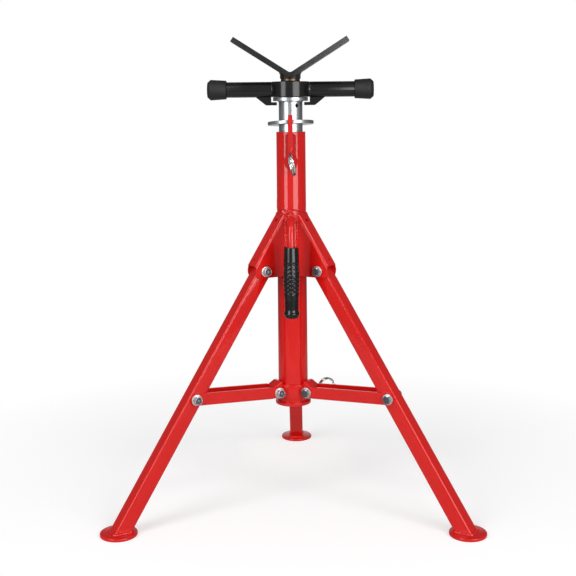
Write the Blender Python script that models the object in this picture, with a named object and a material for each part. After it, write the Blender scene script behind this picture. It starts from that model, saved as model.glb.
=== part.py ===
"""Pipe jack stand: a folding tripod whose column holds a sliding inner tube,
a friction lock ring, and a V head that a lead screw and a two-armed nut raise.

Metres, +Z up. The column stands on the Z axis and the feet rest on Z = 0.
The carry handle and the upper locking pin are at the front, towards -Y.
"""

import math

import bmesh
import bpy
from mathutils import Matrix, Vector

# Azimuths, seen from above, anticlockwise from +X
LEG_AZIMUTHS = {"left": math.radians(-150.0), "right": math.radians(-30.0), "rear": math.radians(90.0)}
FRONT_AZIMUTH = math.radians(-90.0)
LOWER_PIN_AZIMUTH = math.radians(30.0)
KEY_AZIMUTH = math.radians(-58.0)

# Gaps that touching, turning and sliding pieces keep
SEAT_GAP = 0.0003
CUT_OVERRUN = 0.006

# Column and its base flange
COLUMN_DIAMETER = 0.0508
COLUMN_WALL = 0.0042
COLUMN_BOTTOM_BELOW_LUGS = 0.0245
COLUMN_TOP_ABOVE_PIVOT = 0.2363
BASE_FLANGE_DIAMETER = 0.061
BASE_FLANGE_THICKNESS = 0.005
FLANGE_EDGE_BEVEL = 0.0008

# Legs: square tube leaning out from a pivot beside the column
LEG_PIVOT_RADIUS = 0.0591
LEG_PIVOT_HEIGHT = 0.400
FOOT_RADIUS = 0.3204
LEG_SIZE = 0.0254
LEG_WALL = 0.002
LEG_CORNER_RADIUS = 0.0032
LEG_TOP_ABOVE_PIVOT = 0.005

# Feet: round pads welded under the legs
FOOT_DIAMETER = 0.060
FOOT_THICKNESS = 0.005
FOOT_EDGE_BEVEL = 0.0012

# Leg brackets: folded channels welded to the column
BRACKET_SHEET = 0.0025
BRACKET_WEB_CLEARANCE = 0.0017
BRACKET_BOTTOM_BELOW_PIVOT = 0.011
BRACKET_CORNER_RADIUS = 0.0116
BRACKET_BEND_RADIUS = 0.0022
BRACKET_HOLE_DIAMETER = 0.004
BRACKET_LOWER_HOLE_UP = 0.010
BRACKET_UPPER_HOLE_UP = 0.078

# Hexagon bolts, lock nuts and washers
BOLT_DIAMETER = 0.008
BOLT_HOLE_CLEARANCE = 0.0003
HEX_ACROSS_FLATS = 0.013
HEAD_THICKNESS = 0.0053
NUT_THICKNESS = 0.0052
NUT_COLLAR_DIAMETER = 0.0112
NUT_COLLAR_HEIGHT = 0.0022
WASHER_DIAMETER = 0.018
WASHER_THICKNESS = 0.0016
BOLT_END_BEYOND_NUT = 0.0008
BOLT_END_CHAMFER = 0.0007

# Collar that slides on the column and carries the braces
COLLAR_DIAMETER = 0.059
COLLAR_CLEARANCE = 0.0005
COLLAR_BOTTOM_BELOW_PIVOT = 0.0115
COLLAR_TOP_ABOVE_PIVOT = 0.012
COLLAR_EDGE_RADIUS = 0.002
LUG_PIVOT_RADIUS = 0.0355
LUG_PIVOT_HEIGHT = 0.190
LUG_END_RADIUS = 0.009
LUG_EAR_HEIGHT = 0.017
LUG_EAR_WIDTH = 0.004

# Braces: channels open upwards, from the collar's lugs to the legs
BRACE_SHEET = 0.0025
BRACE_HEIGHT = 0.020
BRACE_PIVOT_DOWN_LEG = 0.2385
BRACE_NOSE_CLEARANCE = 0.0004
BRACE_HEEL_START = 0.003
BRACE_HEEL_END = 0.015
BRACE_TOP_CHAMFER = 0.009
BRACE_WEB_START = 0.014
BRACE_WEB_END = 0.086
BRACE_BEND_RADIUS = 0.002

# Carry handle: a bent rod and a moulded grip
ROD_DIAMETER = 0.0127
ROD_ABOVE_PIVOT = 0.087
ROD_REACH = 0.068
ROD_BEND_RADIUS = 0.025
GRIP_DIAMETER = 0.0266
GRIP_TOP_BELOW_ROD = 0.0423
GRIP_LENGTH = 0.1181
GRIP_END_COVER = 0.006
# (how far down the grip, how much of its width)
GRIP_PROFILE_SHARES = (
    (0.000, 0.880), (0.012, 0.917), (0.180, 0.940), (0.390, 1.000), (0.560, 0.985), (0.720, 0.900),
    (0.830, 0.793), (0.900, 0.850), (0.945, 0.945), (0.965, 0.945), (0.988, 0.860), (1.000, 0.640),
)

# Inner tube with its top flange and key screw
TUBE_DIAMETER = 0.0413
TUBE_WALL = 0.0032
TUBE_BOTTOM_ABOVE_COLUMN_BOTTOM = 0.0245
TUBE_TOP_ABOVE_COLUMN = 0.0527
TUBE_FLANGE_DIAMETER = 0.0607
TUBE_FLANGE_THICKNESS = 0.0067
TRANSPORT_HOLE_ABOVE_PIN = 0.012
KEY_BELOW_TUBE_TOP = 0.0075
KEY_DIAMETER = 0.006
KEY_DOG_DIAMETER = 0.005
KEY_DOG_LENGTH = 0.0037
KEY_INSET = 0.0002

# Lead screw with its keyway
SCREW_DIAMETER = 0.03175
SCREW_BELOW_TUBE_TOP = 0.169
SCREW_CHAMFER = 0.0015
KEYWAY_WIDTH = 0.0064
KEYWAY_DEPTH = 0.003
KEYWAY_ABOVE_TUBE_TOP = 0.011

# Nut hub, its two handles, end caps and retaining hooks
HUB_DIAMETER = 0.067
HUB_HEIGHT = 0.0267
HUB_CHAMFER = 0.0008
ARM_DIAMETER = 0.027
ARM_WALL = 0.0025
ARM_HEIGHT_ON_HUB = 0.0131
ARM_REACH = 0.1400
CAP_DIAMETER = 0.0358
CAP_MOUTH_DIAMETER = 0.0325
CAP_FACE_DIAMETER = 0.026
CAP_MOUTH_REACH = 0.111
CAP_EDGE_LENGTH = 0.0055
CAP_END_WALL = 0.0035
HOOK_THICKNESS = 0.006
HOOK_FOOT_REACH = 0.0597
HOOK_HEEL_REACH = 0.0425
HOOK_BOTTOM_BELOW_FLANGE = 0.0073
HOOK_LIP_THICKNESS = 0.0055
HOOK_LIP_REACH = 0.0236
HOOK_FLANGE_CLEARANCE = 0.003

# Head block and V head
BLOCK_DIAMETER = 0.036
BLOCK_NECK_DIAMETER = 0.0334
BLOCK_NECK_HEIGHT = 0.0042
BLOCK_ABOVE_NUT = 0.0006
BLOCK_TOP_ABOVE_APEX = 0.014
V_ANGLE = math.radians(32.6)
V_THICKNESS = 0.0095
V_WIDTH = 0.045
V_ARM_LENGTH = 0.1155
V_INNER_RADIUS = 0.006
V_APEX_ABOVE_NUT = 0.015

# Lock ring, tilted so that it bites on the inner tube
LOCK_RING_DIAMETER = 0.080
LOCK_RING_THICKNESS = 0.006
LOCK_RING_CLEARANCE = 0.00065
LOCK_RING_ABOVE_COLUMN = 0.0149
LOCK_RING_TILT = math.radians(4.8)
LOCK_RING_LIFT_AXIS = math.radians(23.0)
LOCK_RING_NOTCH_WIDTH = 0.0104
LOCK_RING_NOTCH_DEPTH = 0.003
LOCK_RING_BEVEL = 0.0006

# Slotted tab at the front of the column, which holds the lock ring
TAB_THICKNESS = 0.008
TAB_BASE_WIDTH = 0.018
TAB_BASE_REACH = 0.0335
TAB_BASE_TOP_BELOW_COLUMN = 0.0023
TAB_SHOULDER = 0.004
TAB_TOP_ABOVE_COLUMN = 0.0291
TAB_INNER_REACH = 0.027
TAB_OUTER_REACH = 0.0448
TAB_LOWER_REACH = 0.0385
TAB_FLARE_BELOW_COLUMN = 0.0243
TAB_CORNER_RADIUS = 0.003
TAB_SLOT_BELOW_RING = 0.0016
TAB_SLOT_HEIGHT = 0.0092
TAB_SLOT_END_CLEARANCE = 0.0006

# Spring pins: boss, plunger, spring and split pull ring
UPPER_PIN_BELOW_COLUMN_TOP = 0.0513
LOWER_PIN_BELOW_PIVOT = 0.003
LOWER_PIN_HOLE_LIFT = 0.12407
UPPER_BOSS_REACH = 0.038
LOWER_BOSS_REACH = 0.044
BOSS_DIAMETER = 0.022
BOSS_EDGE_BEVEL = 0.001
BOSS_FRONT_WALL = 0.003
POCKET_DIAMETER = 0.013
PIN_DIAMETER = 0.008
PIN_HOLE_CLEARANCE = 0.0003
PIN_TIP_CHAMFER = 0.001
PIN_NOSE_LENGTH = 0.0045
PIN_SHOULDER_DIAMETER = 0.0124
PIN_SHOULDER_THICKNESS = 0.002
PIN_ENGAGE_TRAVEL = 0.004
PIN_HOLE_BEYOND_BOSS = 0.003
PIN_END_BEYOND_HOLE = 0.0042
SPRING_WIRE = 0.001
SPRING_DIAMETER = 0.0114
SPRING_TURNS = 3
PULL_RING_DIAMETER = 0.036
PULL_RING_WIRE = 0.0032
PULL_RING_HOLE_CLEARANCE = 0.0007
PULL_RING_SPLIT = 0.0008
PULL_RING_DROOP = math.radians(12.0)
UPPER_RING_ROLL = math.radians(11.0)

# Facets
ROUND_SIDES = 36
MEDIUM_SIDES = 24
SMALL_SIDES = 16
HOLE_SIDES = 12
CORNER_STEPS = 4
SMOOTH_ANGLE = math.radians(40.0)

# Sizes worked out from those above
COLUMN_RADIUS = COLUMN_DIAMETER / 2
TUBE_RADIUS = TUBE_DIAMETER / 2
SCREW_RADIUS = SCREW_DIAMETER / 2
COLLAR_RADIUS = COLLAR_DIAMETER / 2
COLUMN_BOTTOM = LUG_PIVOT_HEIGHT - COLUMN_BOTTOM_BELOW_LUGS
COLUMN_TOP = LEG_PIVOT_HEIGHT + COLUMN_TOP_ABOVE_PIVOT
BRACKET_BOTTOM = LEG_PIVOT_HEIGHT - BRACKET_BOTTOM_BELOW_PIVOT
ROD_HEIGHT = LEG_PIVOT_HEIGHT + ROD_ABOVE_PIVOT
GRIP_TOP = ROD_HEIGHT - GRIP_TOP_BELOW_ROD
UPPER_PIN_HEIGHT = COLUMN_TOP - UPPER_PIN_BELOW_COLUMN_TOP
TUBE_BOTTOM = COLUMN_BOTTOM + TUBE_BOTTOM_ABOVE_COLUMN_BOTTOM
TUBE_TOP = COLUMN_TOP + TUBE_TOP_ABOVE_COLUMN
TRANSPORT_HOLE_HEIGHT = UPPER_PIN_HEIGHT + TRANSPORT_HOLE_ABOVE_PIN
KEY_HEIGHT = TUBE_TOP - KEY_BELOW_TUBE_TOP
SCREW_BOTTOM = TUBE_TOP - SCREW_BELOW_TUBE_TOP
KEYWAY_TOP = TUBE_TOP + KEYWAY_ABOVE_TUBE_TOP
LOCK_RING_HEIGHT = COLUMN_TOP + LOCK_RING_ABOVE_COLUMN
TAB_BASE_TOP = COLUMN_TOP - TAB_BASE_TOP_BELOW_COLUMN
TAB_TOP = COLUMN_TOP + TAB_TOP_ABOVE_COLUMN
TAB_FLARE_HEIGHT = COLUMN_TOP - TAB_FLARE_BELOW_COLUMN
TAB_SLOT_BOTTOM = LOCK_RING_HEIGHT - TAB_SLOT_BELOW_RING
LEG_LEAN = math.atan2(FOOT_RADIUS - LEG_PIVOT_RADIUS, LEG_PIVOT_HEIGHT)
LEG_LENGTH = LEG_PIVOT_HEIGHT / math.cos(LEG_LEAN)
CHANNEL_GAP = LEG_SIZE / 2 + SEAT_GAP
BRACKET_HALF_WIDTH = CHANNEL_GAP + BRACKET_SHEET
BRACKET_WEB_OUT = LEG_SIZE / 2 + BRACKET_WEB_CLEARANCE + BRACKET_SHEET
BRACE_HALF_WIDTH = CHANNEL_GAP + BRACE_SHEET
BOLT_HOLE_RADIUS = BOLT_DIAMETER / 2 + BOLT_HOLE_CLEARANCE
TUBE_FLANGE_BOTTOM = TUBE_TOP + SEAT_GAP
TUBE_FLANGE_TOP = TUBE_FLANGE_BOTTOM + TUBE_FLANGE_THICKNESS
HUB_BOTTOM = TUBE_FLANGE_TOP + SEAT_GAP
HUB_TOP = HUB_BOTTOM + HUB_HEIGHT
HOOK_BOTTOM = TUBE_FLANGE_BOTTOM - HOOK_BOTTOM_BELOW_FLANGE
V_APEX_HEIGHT = HUB_TOP + V_APEX_ABOVE_NUT
ARM_HEIGHT = HUB_BOTTOM + ARM_HEIGHT_ON_HUB
BLOCK_BOTTOM = HUB_TOP + BLOCK_ABOVE_NUT
SCREW_TOP = BLOCK_BOTTOM - SEAT_GAP
LOWER_PIN_HEIGHT = LUG_PIVOT_HEIGHT - LOWER_PIN_BELOW_PIVOT


def clear_scene():
    """Start from an empty scene."""
    for item in list(bpy.data.objects):
        bpy.data.objects.remove(item, do_unlink=True)


def make_material(name, colour, roughness, metallic):
    """A Principled material with one colour, roughness and metallic value."""
    material = bpy.data.materials.new(name)
    material.use_nodes = True
    shader = material.node_tree.nodes["Principled BSDF"]
    shader.inputs["Base Color"].default_value = (*colour, 1.0)
    shader.inputs["Roughness"].default_value = roughness
    shader.inputs["Metallic"].default_value = metallic
    return material


def red_powder_coat():
    return make_material("red_powder_coat", (0.62, 0.017, 0.013), 0.28, 0.0)


def bright_zinc():
    return make_material("bright_zinc", (0.66, 0.67, 0.68), 0.24, 1.0)


def gloss_black():
    return make_material("gloss_black", (0.018, 0.018, 0.019), 0.22, 0.0)


def charcoal_coat():
    return make_material("charcoal_coat", (0.045, 0.045, 0.048), 0.45, 0.0)


def black_rubber():
    return make_material("black_rubber", (0.020, 0.020, 0.021), 0.55, 0.0)


def grip_plastic():
    return make_material("grip_plastic", (0.008, 0.009, 0.011), 0.30, 0.0)


def plated_bolt():
    return make_material("plated_bolt", (0.50, 0.50, 0.49), 0.32, 1.0)


def bare_screw():
    return make_material("bare_screw", (0.34, 0.29, 0.24), 0.38, 1.0)


def spring_steel():
    return make_material("spring_steel", (0.42, 0.43, 0.44), 0.35, 1.0)


def loft(loops, joined=False):
    """Skin a list of point loops that all have the same number of points.

    joined links the last loop to the first, as round the wall of a pipe.
    Otherwise the first and the last loop are capped."""
    mesh = bmesh.new()
    rows = [[mesh.verts.new(point) for point in loop] for loop in loops]
    nexts = rows[1:] + rows[:1] if joined else rows[1:]
    for low, high in zip(rows, nexts):
        for index in range(len(low)):
            after = (index + 1) % len(low)
            mesh.faces.new((low[index], low[after], high[after], high[index]))
    if not joined:
        mesh.faces.new(list(reversed(rows[0])))
        mesh.faces.new(rows[-1])
    bmesh.ops.recalc_face_normals(mesh, faces=mesh.faces)
    return mesh


def circle(radius, height, sides):
    """Points of a level circle round the Z axis."""
    angles = [math.tau * index / sides for index in range(sides)]
    return [Vector((radius * math.cos(a), radius * math.sin(a), height)) for a in angles]


def turned(profile, sides, hollow=False):
    """A (radius, height) profile turned round Z; a hollow one is a closed loop."""
    return loft([circle(radius, height, sides) for radius, height in profile], joined=hollow)


def turned_outwards(profile, sides, hollow=False):
    """The same turned round X, with the heights measured along +X."""
    mesh = turned(profile, sides, hollow)
    bmesh.ops.transform(mesh, matrix=Matrix.Rotation(math.pi / 2, 4, "Y"), verts=mesh.verts)
    return mesh


def plate(outline, low, high):
    """An (x, z) outline made solid from low to high along Y."""
    return loft([[Vector((x, y, z)) for x, z in outline] for y in (low, high)])


def box(low, high):
    """A box between two opposite corners."""
    outline = [(low[0], low[2]), (high[0], low[2]), (high[0], high[2]), (low[0], high[2])]
    return plate(outline, low[1], high[1])


def rounded(corners, steps=CORNER_STEPS):
    """An outline through (x, z, radius) corners, each turned into an arc."""
    outline = []
    for index, (x, z, radius) in enumerate(corners):
        corner = Vector((x, z))
        if not radius:
            outline.append((x, z))
            continue
        before = (Vector(corners[index - 1][:2]) - corner).normalized()
        after = (Vector(corners[(index + 1) % len(corners)][:2]) - corner).normalized()
        half = before.angle(after) / 2
        centre = corner + (before + after).normalized() * (radius / math.sin(half))
        start = corner + before * (radius / math.tan(half)) - centre
        sweep = start.angle_signed(corner + after * (radius / math.tan(half)) - centre)
        for step in range(steps + 1):
            arm = start.copy()
            arm.rotate(Matrix.Rotation(-sweep * step / steps, 2))
            outline.append(tuple(centre + arm))
    return outline


def swept(path, radius, sides):
    """A round bar along a path, with a flat cap at each end and no twist."""
    loops = []
    side = None
    for index, point in enumerate(path):
        along = path[min(index + 1, len(path) - 1)] - path[max(index - 1, 0)]
        along.normalize()
        if side is None:
            side = along.orthogonal().normalized()
        side = (side - along * side.dot(along)).normalized()
        other = along.cross(side)
        angles = [math.tau * step / sides for step in range(sides)]
        loops.append([point + side * (radius * math.cos(a)) + other * (radius * math.sin(a)) for a in angles])
    return loft(loops)


def round_edges(mesh, chosen, radius, steps=3):
    """Round the edges for which chosen(midpoint, direction) holds."""
    edges = []
    for edge in mesh.edges:
        start, end = edge.verts[0].co, edge.verts[1].co
        if chosen((start + end) / 2, (end - start).normalized()):
            edges.append(edge)
    bmesh.ops.bevel(mesh, geom=edges, offset=radius, segments=steps, profile=0.5, affect="EDGES")
    return mesh


def radial(radius, height, azimuth):
    """The point at a radius, height and azimuth round the column."""
    return Vector((radius * math.cos(azimuth), radius * math.sin(azimuth), height))


def add(name, mesh, material, parent=None, location=(0, 0, 0), rotation=(0, 0, 0)):
    """Turn a mesh into a named object, shaded smooth but for its sharp edges."""
    data = bpy.data.meshes.new(name)
    mesh.to_mesh(data)
    mesh.free()
    data.shade_smooth()
    data.set_sharp_from_angle(angle=SMOOTH_ANGLE)
    data.materials.append(material)
    item = bpy.data.objects.new(name, data)
    bpy.context.scene.collection.objects.link(item)
    item.parent = parent
    item.location = location
    item.rotation_euler = rotation
    return item


def combine(target, name, mesh, operation, location=(0, 0, 0), rotation=(0, 0, 0)):
    """Cut a mesh from the target, or unite it, in the target's own frame."""
    tool = add(name, mesh, target.data.materials[0], target, location, rotation)
    tool.hide_render = True
    tool.display_type = "WIRE"
    modifier = target.modifiers.new(name, "BOOLEAN")
    modifier.operation = operation
    modifier.solver = "EXACT"
    modifier.object = tool


def cut(target, name, mesh, location=(0, 0, 0), rotation=(0, 0, 0)):
    combine(target, name, mesh, "DIFFERENCE", location, rotation)


def unite(target, name, mesh, location=(0, 0, 0), rotation=(0, 0, 0)):
    combine(target, name, mesh, "UNION", location, rotation)


def cut_upright(target, name, radius, low, high, sides=ROUND_SIDES, location=(0, 0, 0)):
    """Cut an upright round hole of a radius between two heights."""
    cut(target, name, turned([(radius, low), (radius, high)], sides), location)


def cut_outwards(target, name, radius, near, far, location, azimuth):
    """Cut a level round hole that runs outwards from the column."""
    cut(target, name, turned_outwards([(radius, near), (radius, far)], HOLE_SIDES), location, (0, 0, azimuth))


def cut_across(target, name, radius, half_length, location):
    """Cut a round hole along the target's Y axis."""
    tool = turned([(radius, -half_length), (radius, half_length)], HOLE_SIDES)
    cut(target, name, tool, location, (math.pi / 2, 0, 0))


def on_leg(along, out):
    """The (radius, height) of a point up the leg's line from its pivot, and out from it."""
    radius = LEG_PIVOT_RADIUS - along * math.sin(LEG_LEAN) + out * math.cos(LEG_LEAN)
    height = LEG_PIVOT_HEIGHT + along * math.cos(LEG_LEAN) + out * math.sin(LEG_LEAN)
    return radius, height


def leg_line_at_height(height, out):
    """The radius at which a line parallel to the leg passes a height."""
    along = (height - LEG_PIVOT_HEIGHT - out * math.sin(LEG_LEAN)) / math.cos(LEG_LEAN)
    return on_leg(along, out)[0]


def leg_line_at_radius(radius, out):
    """The height at which a line parallel to the leg passes a radius."""
    along = (LEG_PIVOT_RADIUS - radius + out * math.cos(LEG_LEAN)) / math.sin(LEG_LEAN)
    return on_leg(along, out)[1]


def make_column(paint):
    """Outer tube, drilled for the upper pin and for the lower pin's two places."""
    inner = COLUMN_RADIUS - COLUMN_WALL
    outer = COLUMN_RADIUS
    wall = [(inner, COLUMN_BOTTOM), (outer, COLUMN_BOTTOM), (outer, COLUMN_TOP), (inner, COLUMN_TOP)]
    column = add("column", turned(wall, ROUND_SIDES, hollow=True), paint)
    far = COLUMN_RADIUS + CUT_OVERRUN
    pin_hole = PIN_DIAMETER / 2 + PIN_HOLE_CLEARANCE
    upper = (0, 0, UPPER_PIN_HEIGHT)
    cut_outwards(column, "upper_pin_port", POCKET_DIAMETER / 2, 0, far, upper, FRONT_AZIMUTH)
    for label, lift in (("open", 0), ("folded", LOWER_PIN_HOLE_LIFT)):
        place = (0, 0, LOWER_PIN_HEIGHT + lift)
        cut_outwards(column, "lower_pin_port_" + label, pin_hole, 0, far, place, LOWER_PIN_AZIMUTH)
    return column


def make_base_flange(paint, column):
    """Ring welded round the column's lower end, which stops the collar."""
    inner = COLUMN_RADIUS + SEAT_GAP
    outer = BASE_FLANGE_DIAMETER / 2
    top = COLUMN_BOTTOM + BASE_FLANGE_THICKNESS
    profile = [
        (inner, COLUMN_BOTTOM), (outer - FLANGE_EDGE_BEVEL, COLUMN_BOTTOM),
        (outer, COLUMN_BOTTOM + FLANGE_EDGE_BEVEL), (outer, top - FLANGE_EDGE_BEVEL),
        (outer - FLANGE_EDGE_BEVEL, top), (inner, top),
    ]
    add("base_flange", turned(profile, ROUND_SIDES, hollow=True), paint, column)


def make_bracket(side, azimuth, paint, column):
    """Folded channel: two flanges coped to the column and a sloping web over the leg."""
    inner = COLUMN_RADIUS - BRACKET_WEB_OUT / 2
    web_out = BRACKET_WEB_OUT
    corner = leg_line_at_height(BRACKET_BOTTOM, web_out)
    outline = rounded([
        (inner, BRACKET_BOTTOM, 0),
        (corner, BRACKET_BOTTOM, BRACKET_CORNER_RADIUS),
        (inner, leg_line_at_radius(inner, web_out), 0),
    ], steps=8)
    shell = plate(outline, -BRACKET_HALF_WIDTH, BRACKET_HALF_WIDTH)
    slope = Vector((-math.sin(LEG_LEAN), 0, math.cos(LEG_LEAN)))
    round_edges(shell, lambda middle, along: abs(along.dot(slope)) > 0.999, BRACKET_BEND_RADIUS)
    bracket = add("leg_bracket_" + side, shell, paint, column, rotation=(0, 0, azimuth))
    below = BRACKET_BOTTOM - CUT_OVERRUN
    cavity = [
        (0, below), (corner + CUT_OVERRUN, below), on_leg(0, web_out + CUT_OVERRUN),
        on_leg(0, web_out - BRACKET_SHEET), (0, leg_line_at_radius(0, web_out - BRACKET_SHEET)),
    ]
    cut(bracket, "bracket_cavity_" + side, plate(cavity, -CHANNEL_GAP, CHANNEL_GAP))
    cut_upright(bracket, "bracket_cope_" + side, COLUMN_RADIUS + SEAT_GAP, below, COLUMN_TOP)
    pivot = (LEG_PIVOT_RADIUS, 0, LEG_PIVOT_HEIGHT)
    half_drill = BRACKET_HALF_WIDTH + CUT_OVERRUN
    cut_across(bracket, "bracket_bolt_hole_" + side, BOLT_HOLE_RADIUS, half_drill, pivot)
    for label, up in (("lower", BRACKET_LOWER_HOLE_UP), ("upper", BRACKET_UPPER_HOLE_UP)):
        radius, height = on_leg(up, web_out)
        drill = BRACKET_HOLE_DIAMETER / 2
        tool = turned_outwards([(drill, -CUT_OVERRUN), (drill, CUT_OVERRUN)], HOLE_SIDES)
        cut(bracket, "bracket_%s_hole_%s" % (label, side), tool, (radius, 0, height), (0, -LEG_LEAN, 0))


def rounded_square(size, radius):
    """Points round a level square with rounded corners."""
    half = size / 2
    corners = ((half, -half), (half, half), (-half, half), (-half, -half))
    return rounded([(x, y, radius) for x, y in corners])


def make_leg(side, azimuth, paint, column):
    """Square tube from above its pivot down to its foot, cut level at the bottom."""
    loops = []
    foot_height = FOOT_THICKNESS + SEAT_GAP - LEG_PIVOT_HEIGHT
    outer = rounded_square(LEG_SIZE, LEG_CORNER_RADIUS)
    inner = rounded_square(LEG_SIZE - 2 * LEG_WALL, LEG_CORNER_RADIUS - LEG_WALL)
    for outline, at_foot in ((outer, True), (outer, False), (inner, False), (inner, True)):
        loop = []
        for x, y in outline:
            level = (foot_height - x * math.sin(LEG_LEAN)) / math.cos(LEG_LEAN)
            loop.append(Vector((x, y, level if at_foot else LEG_TOP_ABOVE_PIVOT)))
        loops.append(loop)
    pivot = radial(LEG_PIVOT_RADIUS, LEG_PIVOT_HEIGHT, azimuth)
    leg = add("leg_" + side, loft(loops, joined=True), paint, column, pivot, (0, -LEG_LEAN, azimuth))
    for label, down in (("pivot", 0), ("brace", BRACE_PIVOT_DOWN_LEG)):
        cut_across(leg, "leg_%s_hole_%s" % (label, side), BOLT_HOLE_RADIUS, LEG_SIZE, (0, 0, -down))
    return leg


def make_foot(side, paint, leg):
    """Round pad under the leg, level when the stand is open."""
    radius = FOOT_DIAMETER / 2
    profile = [
        (radius - FOOT_EDGE_BEVEL, 0), (radius, FOOT_EDGE_BEVEL),
        (radius, FOOT_THICKNESS - FOOT_EDGE_BEVEL), (radius - FOOT_EDGE_BEVEL, FOOT_THICKNESS),
    ]
    add("foot_pad_" + side, turned(profile, ROUND_SIDES), paint, leg, (0, 0, -LEG_LENGTH), (0, LEG_LEAN, 0))


def make_collar(paint, column):
    """Sliding ring with a lug for each brace and a port for the lower pin."""
    bore = COLUMN_RADIUS + COLLAR_CLEARANCE
    low, high = -COLLAR_BOTTOM_BELOW_PIVOT, COLLAR_TOP_ABOVE_PIVOT
    wall = [
        (bore, low), (COLLAR_RADIUS, low), (COLLAR_RADIUS, high - COLLAR_EDGE_RADIUS),
        (COLLAR_RADIUS - COLLAR_EDGE_RADIUS / 3, high - COLLAR_EDGE_RADIUS / 3),
        (COLLAR_RADIUS - COLLAR_EDGE_RADIUS, high), (bore, high),
    ]
    place = (0, 0, LUG_PIVOT_HEIGHT)
    collar = add("collar", turned(wall, ROUND_SIDES, hollow=True), paint, column, place)
    root = bore + SEAT_GAP
    tip = LUG_PIVOT_RADIUS + LUG_END_RADIUS
    outline = rounded([
        (root, -LUG_END_RADIUS, 0), (tip, -LUG_END_RADIUS, LUG_END_RADIUS),
        (tip, LUG_END_RADIUS, LUG_END_RADIUS),
        (root + LUG_EAR_WIDTH, LUG_EAR_HEIGHT, LUG_EAR_WIDTH / 2), (root, LUG_EAR_HEIGHT, 0),
    ])
    for side, azimuth in LEG_AZIMUTHS.items():
        lug = plate(outline, -LEG_SIZE / 2, LEG_SIZE / 2)
        unite(collar, "collar_lug_" + side, lug, rotation=(0, 0, azimuth))
    for side, azimuth in LEG_AZIMUTHS.items():
        drill = turned([(BOLT_HOLE_RADIUS, -LEG_SIZE), (BOLT_HOLE_RADIUS, LEG_SIZE)], HOLE_SIDES)
        spot = radial(LUG_PIVOT_RADIUS, 0, azimuth)
        cut(collar, "collar_bolt_hole_" + side, drill, spot, (math.pi / 2, 0, azimuth))
    port = (0, 0, -LOWER_PIN_BELOW_PIVOT)
    far = COLLAR_RADIUS + CUT_OVERRUN
    cut_outwards(collar, "collar_pin_port", POCKET_DIAMETER / 2, 0, far, port, LOWER_PIN_AZIMUTH)
    return collar


def brace_reach():
    """How far out and up the brace's outer pivot is from its inner one."""
    radius, height = on_leg(-BRACE_PIVOT_DOWN_LEG, 0)
    return radius - LUG_PIVOT_RADIUS, height - LUG_PIVOT_HEIGHT


def make_brace(side, azimuth, paint, collar):
    """Channel with round ends; its floor stops short of the collar and of the leg."""
    length = math.hypot(*brace_reach())
    half = BRACE_HEIGHT / 2
    collar_side = math.sqrt(COLLAR_RADIUS ** 2 - CHANNEL_GAP ** 2)
    nose = LUG_PIVOT_RADIUS - collar_side - BRACE_NOSE_CLEARANCE
    end = length + half
    outline = rounded([
        (-nose, -nose, nose), (BRACE_HEEL_START, -nose, 0), (BRACE_HEEL_END, -half, 0),
        (end, -half, half), (end, half, half), (BRACE_TOP_CHAMFER, half, 0), (-nose, nose / 3, 0),
    ], steps=6)
    shell = plate(outline, -BRACE_HALF_WIDTH, BRACE_HALF_WIDTH)
    level = half - BRACE_BEND_RADIUS
    round_edges(shell, lambda middle, along: abs(along.x) > 0.999 and middle.z < -level, BRACE_BEND_RADIUS)
    rise = math.atan2(*reversed(brace_reach()))
    spot = radial(LUG_PIVOT_RADIUS, 0, azimuth)
    brace = add("brace_" + side, shell, paint, collar, spot, (0, -rise, azimuth))
    floor = BRACE_SHEET - half
    below = -half - CUT_OVERRUN
    above = half + CUT_OVERRUN
    cavity = [
        (-nose - CUT_OVERRUN, below), (BRACE_WEB_START, below), (BRACE_WEB_START, floor),
        (BRACE_WEB_END, floor), (BRACE_WEB_END, below), (end + CUT_OVERRUN, below),
        (end + CUT_OVERRUN, above), (-nose - CUT_OVERRUN, above),
    ]
    cut(brace, "brace_cavity_" + side, plate(cavity, -CHANNEL_GAP, CHANNEL_GAP))
    for label, out in (("inner", 0), ("outer", length)):
        half_drill = BRACE_HALF_WIDTH + CUT_OVERRUN
        cut_across(brace, "brace_%s_hole_%s" % (label, side), BOLT_HOLE_RADIUS, half_drill, (out, 0, 0))
    return brace, length


def hex_loop(height, inset=0.0):
    """Six corners of the fasteners' hexagon, drawn in by an inset."""
    radius = HEX_ACROSS_FLATS / 2 / math.cos(math.pi / 6) - inset
    return circle(radius, height, 6)


def make_bolt(name, material, parent, location, rotation, grip, shank_start, shank_end):
    """Head and washer on one face of what is bolted, with the shank through it.

    The bolt's axis is Y, its head lies at -Y, and grip is half the bolted width."""
    washer_low = -grip - SEAT_GAP - WASHER_THICKNESS
    head_low = washer_low - HEAD_THICKNESS
    radius = WASHER_DIAMETER / 2
    profile = [(radius, washer_low), (radius, washer_low + WASHER_THICKNESS)]
    bolt = add(name, turned(profile, SMALL_SIDES), material, parent, location, rotation)
    upright = Matrix.Rotation(-math.pi / 2, 4, "X")
    bolt.data.transform(upright)
    chamfer = HEAD_THICKNESS / 6
    seat = washer_low + WASHER_THICKNESS / 2
    head = loft([hex_loop(head_low, chamfer), hex_loop(head_low + chamfer), hex_loop(seat)])
    bmesh.ops.transform(head, matrix=upright, verts=head.verts)
    unite(bolt, name + "_head", head)
    shank_radius = BOLT_DIAMETER / 2
    ends = [(shank_radius, shank_start), (shank_radius, shank_end - BOLT_END_CHAMFER)]
    ends.append((shank_radius - BOLT_END_CHAMFER, shank_end))
    shank = turned(ends, HOLE_SIDES)
    bmesh.ops.transform(shank, matrix=upright, verts=shank.verts)
    unite(bolt, name + "_shank", shank)
    return bolt


def nut_profile(grip):
    """(inner end, height) steps of a lock nut and its washer, along the bolt."""
    face = grip + SEAT_GAP
    return face, face + WASHER_THICKNESS, face + WASHER_THICKNESS + NUT_THICKNESS


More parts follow.
